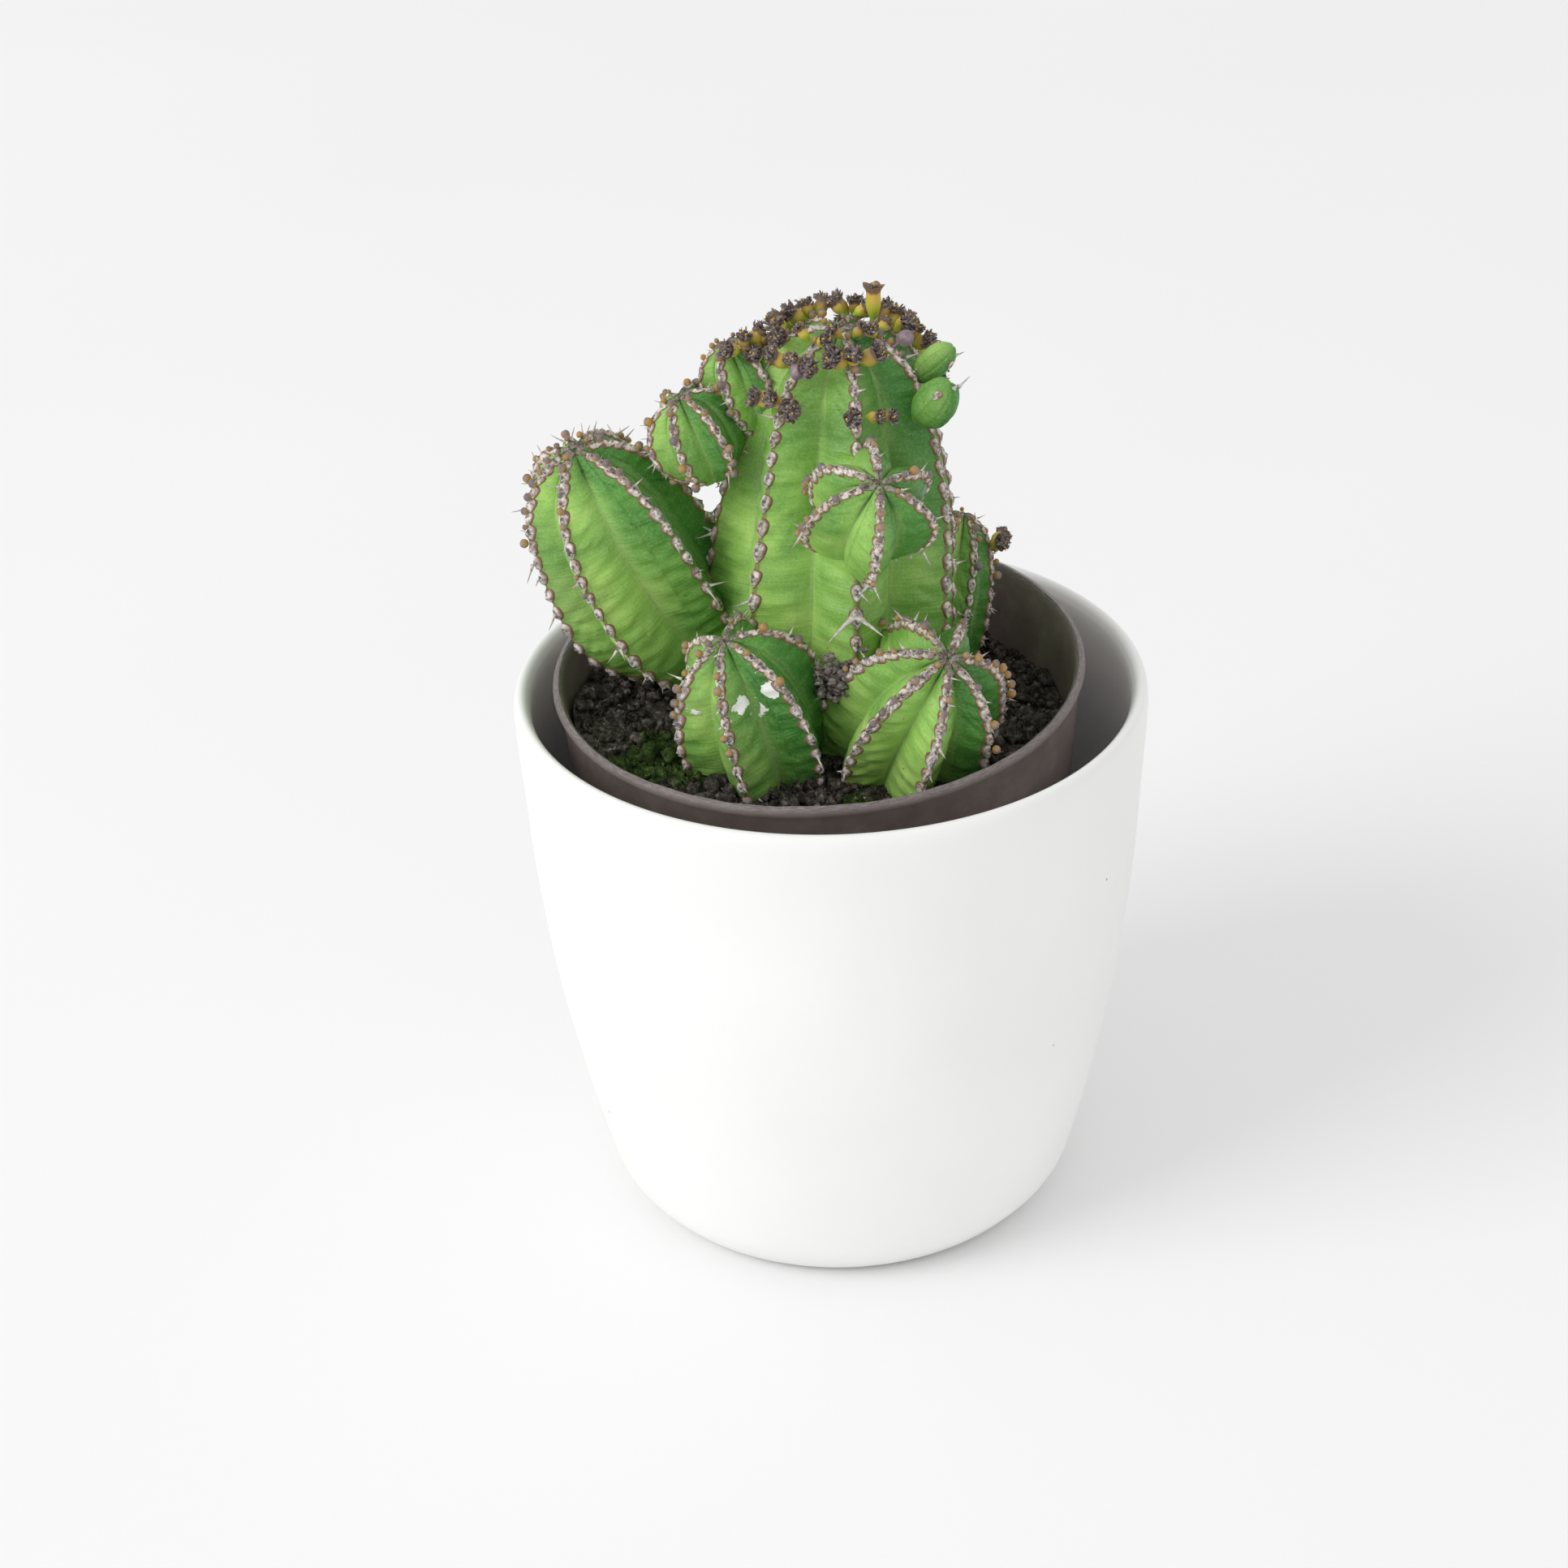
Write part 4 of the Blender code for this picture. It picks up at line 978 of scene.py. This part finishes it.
def urn(start, direction, size, chance, length_factor=1.0):
    """Turned urn with a five-lobed mouth; its open inside is closed a little below the lip."""
    segments = 20
    turns = 2 * np.pi * np.arange(segments) / segments
    axes = frame_on(direction)
    shape = smooth_outline([(r, z) for z, r in URN_SHAPE], 0.16)
    rows, tip = [], []
    phase = chance.uniform(0, 6)
    for radius, height in shape:
        lobes = 1 + 0.10 * height**3 * np.sin(5 * turns + phase) + 0.04 * np.sin(2 * turns + phase)
        ring = np.stack([np.cos(turns) * radius * lobes * URN_MOUTH * size,
                         np.sin(turns) * radius * lobes * URN_MOUTH * size,
                         np.full(segments, height * URN_LENGTH * size * length_factor)
                         + 0.25 * height**4 * np.sin(5 * turns + phase)], 1)
        rows.append(ring @ axes.T + start)
        tip.extend([max(0.0, height)] * segments)
    rows.append(np.array([start, rows[-1].mean(0)]))
    tip += [0.0, 0.8]
    vertices = np.vstack(rows)
    root, floor_point = len(vertices) - 2, len(vertices) - 1
    faces = []
    for c in range(segments):
        n = (c + 1) % segments
        for k in range(len(shape) - 1):
            a, b = k * segments, (k + 1) * segments
            faces.append((a + c, a + n, b + n, b + c))
        end = (len(shape) - 1) * segments
        faces.append((end + c, end + n, floor_point))
        faces.append((n, c, root))
    return vertices, faces, {"tip": np.array(tip), "tint": np.full(len(vertices), chance.random())}


blob_directions, blob_faces = sphere_rows(12, 18)
scrap_directions, scrap_faces = sphere_rows(5, 7)


def crumpled(centre, axes, radii, chance, directions, faces, depth):
    """Ball crushed by a few random folds."""
    stretch = np.ones(len(directions))
    for _ in range(9):
        wave = np.array([chance.uniform(-1, 1) for _ in range(3)])
        wave *= chance.uniform(4, 9) / np.linalg.norm(wave)
        stretch += depth * np.sin(directions @ wave + chance.uniform(0, 6)) / 3
    points = (directions * np.array(radii) * stretch[:, None]) @ axes.T + centre
    return points, faces, {"tip": stretch}


def tuft(mouth, direction, size, chance):
    """Crumpled heart in an urn's mouth, ringed with curled scraps, a few threads and pollen grains."""
    axes = frame_on(direction)
    along = axes[:, 2]
    pieces = [crumpled(mouth - along * 0.05 * size, axes, (1.25 * size, 1.25 * size, 0.85 * size), chance,
                       blob_directions, blob_faces, 0.5)]
    for k in range(20):
        turn = 2 * math.pi * (k + chance.random() * 0.8) / 9
        around = axes[:, 0] * math.cos(turn) + axes[:, 1] * math.sin(turn)
        reach = chance.uniform(0.4, 1.9) * size
        centre = mouth + around * reach + along * (chance.uniform(0.3, 1.5) - reach * 0.25) * size
        bits = (chance.uniform(0.3, 0.7) * size, chance.uniform(0.14, 0.26) * size,
                chance.uniform(0.45, 1.0) * size)
        pieces.append(crumpled(centre, frame_on(around + along * chance.uniform(0.2, 1.6)), bits, chance,
                               scrap_directions, scrap_faces, 0.7))
    for k in range(5):
        turn = 2 * math.pi * chance.random()
        around = axes[:, 0] * math.cos(turn) + axes[:, 1] * math.sin(turn)
        lean = along + around * chance.uniform(0.2, 1.3)
        pieces.append(tapered_horn(mouth + around * 0.7 * size, lean, chance.uniform(1.3, 2.8) * size,
                                   0.17 * size, around * chance.uniform(-1.1, 1.1), k))
    grains = []
    for _ in range(4):
        turn = 2 * math.pi * chance.random()
        around = axes[:, 0] * math.cos(turn) + axes[:, 1] * math.sin(turn)
        centre = mouth + around * chance.uniform(0.3, 1.7) * size + along * chance.uniform(0.6, 1.5) * size
        grains.append(crumpled(centre, axes, (0.24, 0.24, 0.24), chance, scrap_directions, scrap_faces, 0.3))
    return pieces, grains


def cyme(stem_name, rib, t, kind, size, lift, chance):
    """Urns and tufts of one group across a rib."""
    line_t, points, _, outward, down, side = crest_line(stem_name, rib)
    k = int(np.searchsorted(line_t, t))
    spot, out, across = points[k], outward[k], side[k]
    up = out + np.array([0, 0, lift])
    up /= np.linalg.norm(up)
    plans = {"single": ((0.0, 0.0, 1.05),),
             "double": ((-0.9, 1.2, 0.95), (0.9, 1.2, 0.9)),
             "triple": ((0.0, 0.3, 0.8), (-1.0, 1.3, 1.0), (1.0, 1.3, 1.0)),
             "row": ((-0.25, 0.6, 0.9), (1.1, 1.8, 0.75), (1.1, 4.6, 0.75))}[kind]
    urns, tufts, pollen = [], [], []
    for sideways, shift, grown in plans:
        lean = up + across * sideways * 1.25
        lean /= np.linalg.norm(lean)
        lean = lean + np.array([chance.uniform(-0.15, 0.15) for _ in range(3)])
        lean /= np.linalg.norm(lean)
        start = spot + out * 0.1 + across * np.sign(sideways) * shift
        length = 1.75 if kind == "single" else 1.0
        here = size * grown
        urns.append(urn(start, lean, here, chance, length))
        mouth = start + lean * URN_LENGTH * here * length * 0.93
        dead, yellow = tuft(mouth, lean, here * (0.5 if kind == "single" else 1.0), chance)
        tufts.extend(dead)
        pollen.extend(yellow)
    return urns, tufts, pollen


def pollen_grain():
    """Dried anthers: matt chrome yellow, mealy."""
    material, tree, shader = new_material("mealy_yellow_pollen")
    spot = add(tree, "ShaderNodeTexCoord").outputs["Object"]
    meal = add(tree, "ShaderNodeTexNoise", {"Vector": spot, "Scale": 2500.0, "Detail": 2.0}).outputs["Fac"]
    tree.links.new(ramp(tree, meal, ((0.35, "#b8862a"), (0.65, "#eccb55"))), shader.inputs["Base Color"])
    shader.inputs["Roughness"].default_value = 0.85
    return material


urn_material = fleshy_urn()
tuft_material = withered_tuft()
pollen_material = pollen_grain()
for piece_name, (nodes, groups) in CYMES.items():
    chance = random.Random(sum(map(ord, piece_name)))
    made = [cyme(*group, chance) for group in groups]
    for ending, material, index, replaced in (("", urn_material, 0, nodes), ("_tufts", tuft_material, 1, ()),
                                              ("_pollen", pollen_material, 2, ())):
        parts = [part for group in made for part in group[index]]
        if parts:
            vertices, faces, values = gather(parts)
            place(finished_mesh(piece_name + ending, vertices, faces, material, values), "dried_flower", *replaced)


# ---------------------------------------------------------------- seed capsules
# Two ripening three-lobed seed capsules, dull purple grey, hang on short stalks at the crown.
CAPSULES = {"seed_capsule_1": ("main_stem", 1, 0.33, 0.9), "seed_capsule_2": ("main_stem", 3, 0.27, 0.2)}


def capsule_skin():
    """Dry fruit skin: dull purple grey with fine veins."""
    material, tree, shader = new_material("purple_grey_capsule")
    spot = add(tree, "ShaderNodeTexCoord").outputs["Object"]
    cloud = add(tree, "ShaderNodeTexNoise", {"Vector": spot, "Scale": 700.0, "Detail": 4.0}).outputs["Fac"]
    colour = ramp(tree, cloud, ((0.3, "#74626c"), (0.55, "#8f7d86"), (0.75, "#b3a5a8")))
    tree.links.new(colour, shader.inputs["Base Color"])
    shader.inputs["Roughness"].default_value = 0.55
    bump = add(tree, "ShaderNodeBump", {"Height": cloud, "Strength": 0.4, "Distance": 0.0002})
    tree.links.new(bump.outputs["Normal"], shader.inputs["Normal"])
    return material


capsule_material = capsule_skin()
fruit_directions, fruit_faces = sphere_rows(16, 30)
for node, (stem_name, rib, t, sideways) in CAPSULES.items():
    line_t, points, _, outward, down, side = crest_line(stem_name, rib)
    k = int(np.searchsorted(line_t, t))
    lean = outward[k] + side[k] * sideways - np.array([0, 0, 0.3])
    axes = frame_on(lean)
    turn = np.arctan2(fruit_directions[:, 1], fruit_directions[:, 0])
    lobed = 1 + 0.09 * np.cos(3 * turn) * np.hypot(fruit_directions[:, 0], fruit_directions[:, 1])
    centre = points[k] + axes[:, 2] * 3.2
    ball = (fruit_directions * lobed[:, None] * (1.75, 1.75, 1.9)) @ axes.T + centre
    stalk = tapered_horn(points[k], axes[:, 2], 3.0, 0.7, (0, 0, 0), 1)
    tip = tapered_horn(centre + axes[:, 2] * 1.6, axes[:, 2], 1.3, 0.3, (0, 0, 0), 2)
    vertices, faces, values = gather([(ball, fruit_faces, {"tip": np.zeros(len(ball))}), stalk, tip])
    place(finished_mesh(node + "_fruit", vertices, faces, capsule_material, values), "seed_capsule", node)


# ---------------------------------------------------------------- soil
# Dark peat, dry on top: crumbs of 0.5 to 3 mm, a few white perlite and bark bits, and cushions of
# green moss at the front left.
SOIL_RINGS = 90
SOIL_COLUMNS = 260
DEBRIS_SPOT = (1.7, -28.0, 141.3)  # gap between the two front offsets


def crumbly_peat():
    """Peat: matt, nearly black brown, paler dust on the crumbs, moss green where it stays damp."""
    material, tree, shader = new_material("crumbly_dark_peat")
    spot = add(tree, "ShaderNodeTexCoord").outputs["Object"]
    moss = add(tree, "ShaderNodeAttribute", attribute_name="moss").outputs["Fac"]
    grit = add(tree, "ShaderNodeTexNoise", {"Vector": spot, "Scale": 620.0, "Detail": 6.0,
                                            "Roughness": 0.75}).outputs["Fac"]
    patch = add(tree, "ShaderNodeTexNoise", {"Vector": spot, "Scale": 130.0, "Detail": 3.0}).outputs["Fac"]
    dark = ramp(tree, grit, ((0.33, "#1f1b19"), (0.48, "#47413c"), (0.6, "#7b736b"), (0.74, "#c8c1b9")))
    green = ramp(tree, grit, ((0.35, "#202a12"), (0.55, "#456026"), (0.75, "#86a844")))
    spread = add(tree, "ShaderNodeMath", {0: patch, 1: moss}, operation="ADD").outputs[0]
    tree.links.new(mix(tree, ramp(tree, spread, ((0.95, 0.0), (1.12, 0.9))), dark, green),
                   shader.inputs["Base Color"])
    shader.inputs["Roughness"].default_value = 0.95
    shader.inputs["Specular IOR Level"].default_value = 0.25
    bump = add(tree, "ShaderNodeBump", {"Height": grit, "Strength": 0.9, "Distance": 0.0012})
    tree.links.new(bump.outputs["Normal"], shader.inputs["Normal"])
    return material


def soil_edge(angle):
    """Radius and centre of the soil where it meets the leaning pot."""
    depth = 13.0
    centre = np.array(RIM_CENTRE - RIM_NORMAL * depth)
    return centre, grow_wall(GROW_HEIGHT - depth) - 0.5


def rough(x, y):
    """Crumb relief in mm from a few crossed waves."""
    return (0.45 * np.sin(1.1 * x + 1.7 * np.sin(0.8 * y)) * np.cos(1.3 * y + 1.1 * np.sin(0.9 * x))
            + 0.30 * np.sin(2.7 * x + 2 * np.sin(1.9 * y)) * np.sin(2.3 * y + 2 * np.sin(2.1 * x)))


def mossy(x, y):
    """1 on the damp front left side, 0 elsewhere."""
    return np.clip(1.15 - np.hypot(x + 34, y + 24) / 20, 0, 1) + np.clip(0.8 - np.hypot(x - 6, y + 40) / 10, 0, 1)


soil_centre, soil_radius = soil_edge(0.0)
shares = np.linspace(0, 1, SOIL_RINGS)[1:]
turns = 2 * np.pi * np.arange(SOIL_COLUMNS) / SOIL_COLUMNS
share_grid, turn_grid = np.meshgrid(shares, turns, indexing="ij")
soil_x = soil_centre[0] + share_grid * soil_radius * np.cos(turn_grid)
soil_y = soil_centre[1] + share_grid * soil_radius * np.sin(turn_grid)
soil_z = soil_height(soil_x, soil_y) + rough(soil_x, soil_y) * np.clip((1 - share_grid) * 12, 0, 1)
top_points = np.stack([soil_x, soil_y, soil_z], -1).reshape(-1, 3)
foot_centre = np.array(RIM_CENTRE - RIM_NORMAL * (GROW_HEIGHT - GROW_WALL - 0.4))
foot_radius = BASE_RADIUS - 2.4
foot_points = np.stack([foot_centre[0] + foot_radius * np.cos(turns), foot_centre[1] + foot_radius * np.sin(turns),
                        np.full(SOIL_COLUMNS, foot_centre[2] + 1.0)], 1)
middle_points = 0.5 * foot_points + 0.5 * top_points[-SOIL_COLUMNS:] + [0, 0, 0]
centre_top = [soil_centre[0], soil_centre[1], soil_height(soil_centre[0], soil_centre[1])]
soil_vertices = np.vstack([top_points, middle_points, foot_points, [centre_top], [foot_centre]])
soil_faces = []
soil_rows = SOIL_RINGS - 1 + 2
for c in range(SOIL_COLUMNS):
    n = (c + 1) % SOIL_COLUMNS
    for row in range(soil_rows - 1):
        a, b = row * SOIL_COLUMNS, (row + 1) * SOIL_COLUMNS
        soil_faces.append((a + c, b + c, b + n, a + n))
    soil_faces.append((len(soil_vertices) - 2, c, n))
    last = (soil_rows - 1) * SOIL_COLUMNS
    soil_faces.append((last + c, len(soil_vertices) - 1, last + n))
soil_material = crumbly_peat()
soil_moss = mossy(soil_vertices[:, 0], soil_vertices[:, 1])
place(finished_mesh("peat_soil", soil_vertices, soil_faces, soil_material, {"moss": soil_moss}),
      "peat_soil", "soil")


def light_bits():
    """Perlite and dry bark: matt off-white to tan bits."""
    material, tree, shader = new_material("pale_bark_and_perlite")
    spot = add(tree, "ShaderNodeTexCoord").outputs["Object"]
    cloud = add(tree, "ShaderNodeTexNoise", {"Vector": spot, "Scale": 300.0, "Detail": 3.0}).outputs["Fac"]
    colour = ramp(tree, cloud, ((0.35, "#6e5a48"), (0.5, "#9b8f86"), (0.65, "#cfcac4")))
    tree.links.new(colour, shader.inputs["Base Color"])
    shader.inputs["Roughness"].default_value = 0.9
    bump = add(tree, "ShaderNodeBump", {"Height": cloud, "Strength": 0.5, "Distance": 0.0004})
    tree.links.new(bump.outputs["Normal"], shader.inputs["Normal"])
    return material


def scattered_crumbs(count, sizes, chance):
    """Crumbs pressed into the soil surface at random."""
    pieces = []
    while len(pieces) < count:
        share, turn = math.sqrt(chance.random()) * 0.97, 2 * math.pi * chance.random()
        x = soil_centre[0] + share * soil_radius * math.cos(turn)
        y = soil_centre[1] + share * soil_radius * math.sin(turn)
        size = sizes[0] + (sizes[1] - sizes[0]) * chance.random() ** 2.5
        centre = np.array([x, y, soil_height(x, y) + rough(x, y) + 0.25 * size])
        shape = tuple(size * chance.uniform(0.55, 1.1) / 2 for _ in range(3))
        lean = [chance.uniform(-1, 1) for _ in range(3)]
        points, faces, _ = crumpled(centre, frame_on(lean), shape, chance, scrap_directions, scrap_faces, 0.5)
        pieces.append((points, faces, {"moss": np.full(len(points), float(mossy(x, y)) * 0.9)}))
    return gather(pieces)


vertices, faces, values = scattered_crumbs(2600, (0.8, 4.2), random.Random(5))
place(finished_mesh("soil_crumbs", vertices, faces, soil_material, values), "peat_soil")
vertices, faces, values = scattered_crumbs(170, (0.6, 2.0), random.Random(8))
place(finished_mesh("perlite_and_bark_bits", vertices, faces, light_bits(), values), "peat_soil")


def dry_debris(centre, count, chance):
    """Fallen dried flowers caught in a gap: a heap of crumpled scraps."""
    pieces = []
    for _ in range(count):
        off = np.array([chance.gauss(1.6, 3.0), chance.gauss(0.5, 1.4), chance.gauss(0.8, 2.2)])
        shape = [chance.uniform(0.35, 1.1) for _ in range(3)]
        lean = [chance.uniform(-1, 1) for _ in range(3)]
        points, faces, _ = crumpled(np.array(centre) + off, frame_on(lean), shape, chance, scrap_directions,
                                    scrap_faces, 0.7)
        pieces.append((points, faces, {"tip": np.zeros(len(points))}))
    return gather(pieces)


vertices, faces, values = dry_debris(DEBRIS_SPOT, 190, random.Random(31))
place(finished_mesh("fallen_flower_debris", vertices, faces, tuft_material, values), "dried_flower")


def moss_green():
    """Moss: thin translucent leaflets, dark olive to fresh green."""
    material, tree, shader = new_material("cushion_moss")
    tip = add(tree, "ShaderNodeAttribute", attribute_name="tip").outputs["Fac"]
    spot = add(tree, "ShaderNodeTexCoord").outputs["Object"]
    cloud = add(tree, "ShaderNodeTexNoise", {"Vector": spot, "Scale": 260.0, "Detail": 3.0}).outputs["Fac"]
    low = ramp(tree, cloud, ((0.35, "#1a240d"), (0.7, "#2f3f17")))
    high = ramp(tree, cloud, ((0.35, "#41591c"), (0.7, "#6d8f2c")))
    tree.links.new(mix(tree, tip, low, high), shader.inputs["Base Color"])
    shader.inputs["Roughness"].default_value = 0.8
    return material


moss_chance = random.Random(21)
blades = []
while len(blades) < 1500:
    x, y = moss_chance.uniform(-52, 16), moss_chance.uniform(-50, 6)
    if math.hypot(x - soil_centre[0], y - soil_centre[1]) > soil_radius - 1.0:
        continue
    if moss_chance.random() > float(mossy(x, y)) * (0.5 + 0.5 * math.sin(0.9 * x) * math.cos(1.1 * y)):
        continue
    root = np.array([x, y, soil_height(x, y) + rough(x, y) - 0.2])
    lean = (moss_chance.uniform(-0.7, 0.7), moss_chance.uniform(-0.7, 0.7), 1.0)
    blades.append(tapered_horn(root, lean, moss_chance.uniform(0.6, 1.5), 0.16, (0, 0, 0), 0))
vertices, faces, values = gather(blades)
place(finished_mesh("moss_cushions", vertices, faces, moss_green(), values), "peat_soil")


# ---------------------------------------------------------------- studio, camera
# A pale seamless floor under a large soft light from the upper left.
FLOOR_SIZE = 6.0


def paper_floor():
    """Matt white background paper with the faintest mottling."""
    material, tree, shader = new_material("matt_white_paper")
    spot = add(tree, "ShaderNodeTexCoord").outputs["Object"]
    cloud = add(tree, "ShaderNodeTexNoise", {"Vector": spot, "Scale": 3.0, "Detail": 2.0}).outputs["Fac"]
    tree.links.new(ramp(tree, cloud, ((0.3, "#f6f6f6"), (0.7, "#f8f8f8"))), shader.inputs["Base Color"])
    shader.inputs["Roughness"].default_value = 0.95
    shader.inputs["Specular IOR Level"].default_value = 0.1
    return material


floor_mesh = bpy.data.meshes.new("studio_floor")
floor_bm = bmesh.new()
bmesh.ops.create_grid(floor_bm, x_segments=8, y_segments=8, size=FLOOR_SIZE / 2)
floor_bm.to_mesh(floor_mesh)
floor_bm.free()
floor_mesh.materials.append(paper_floor())
floor = bpy.data.objects.new("studio_floor", floor_mesh)
bpy.context.scene.collection.objects.link(floor)

world = bpy.data.worlds.new("white_studio")
bpy.context.scene.world = world
world.use_nodes = True
world.node_tree.nodes["Background"].inputs["Color"].default_value = (1.0, 1.0, 1.0, 1.0)
world.node_tree.nodes["Background"].inputs["Strength"].default_value = 0.795


def soft_light(name, spot, target, size, power):
    """Square area light at spot, facing target; metres and watts."""
    data = bpy.data.lights.new(name, "AREA")
    data.shape = "SQUARE"
    data.size = size
    data.energy = power
    light = bpy.data.objects.new(name, data)
    bpy.context.scene.collection.objects.link(light)
    light.location = spot
    light.rotation_euler = (Vector(target) - Vector(spot)).to_track_quat("-Z", "Y").to_euler()
    return light


soft_light("upper_left_softbox", (-2.9, -1.6, 2.4), (0, 0, 0.1), 2.0, 60.0)

camera_data = bpy.data.cameras.new("camera")
camera_data.sensor_width = 36.0
camera_data.lens = 78.26
camera_data.clip_start = 0.01
camera = bpy.data.objects.new("camera", camera_data)
bpy.context.scene.collection.objects.link(camera)
CAMERA_SPOT = Vector((0.0, -0.6647, 0.482))
CAMERA_TARGET = Vector((-0.011, 0.0004, 0.1009))
CAMERA_ROLL = math.radians(-2.0)
aim = (CAMERA_TARGET - CAMERA_SPOT).to_track_quat("-Z", "Y").to_matrix().to_4x4()
camera.matrix_world = Matrix.Translation(CAMERA_SPOT) @ aim @ Matrix.Rotation(CAMERA_ROLL, 4, "Z")
bpy.context.scene.camera = camera
bpy.context.scene.view_settings.view_transform = "Standard"
bpy.context.scene.view_settings.look = "None"
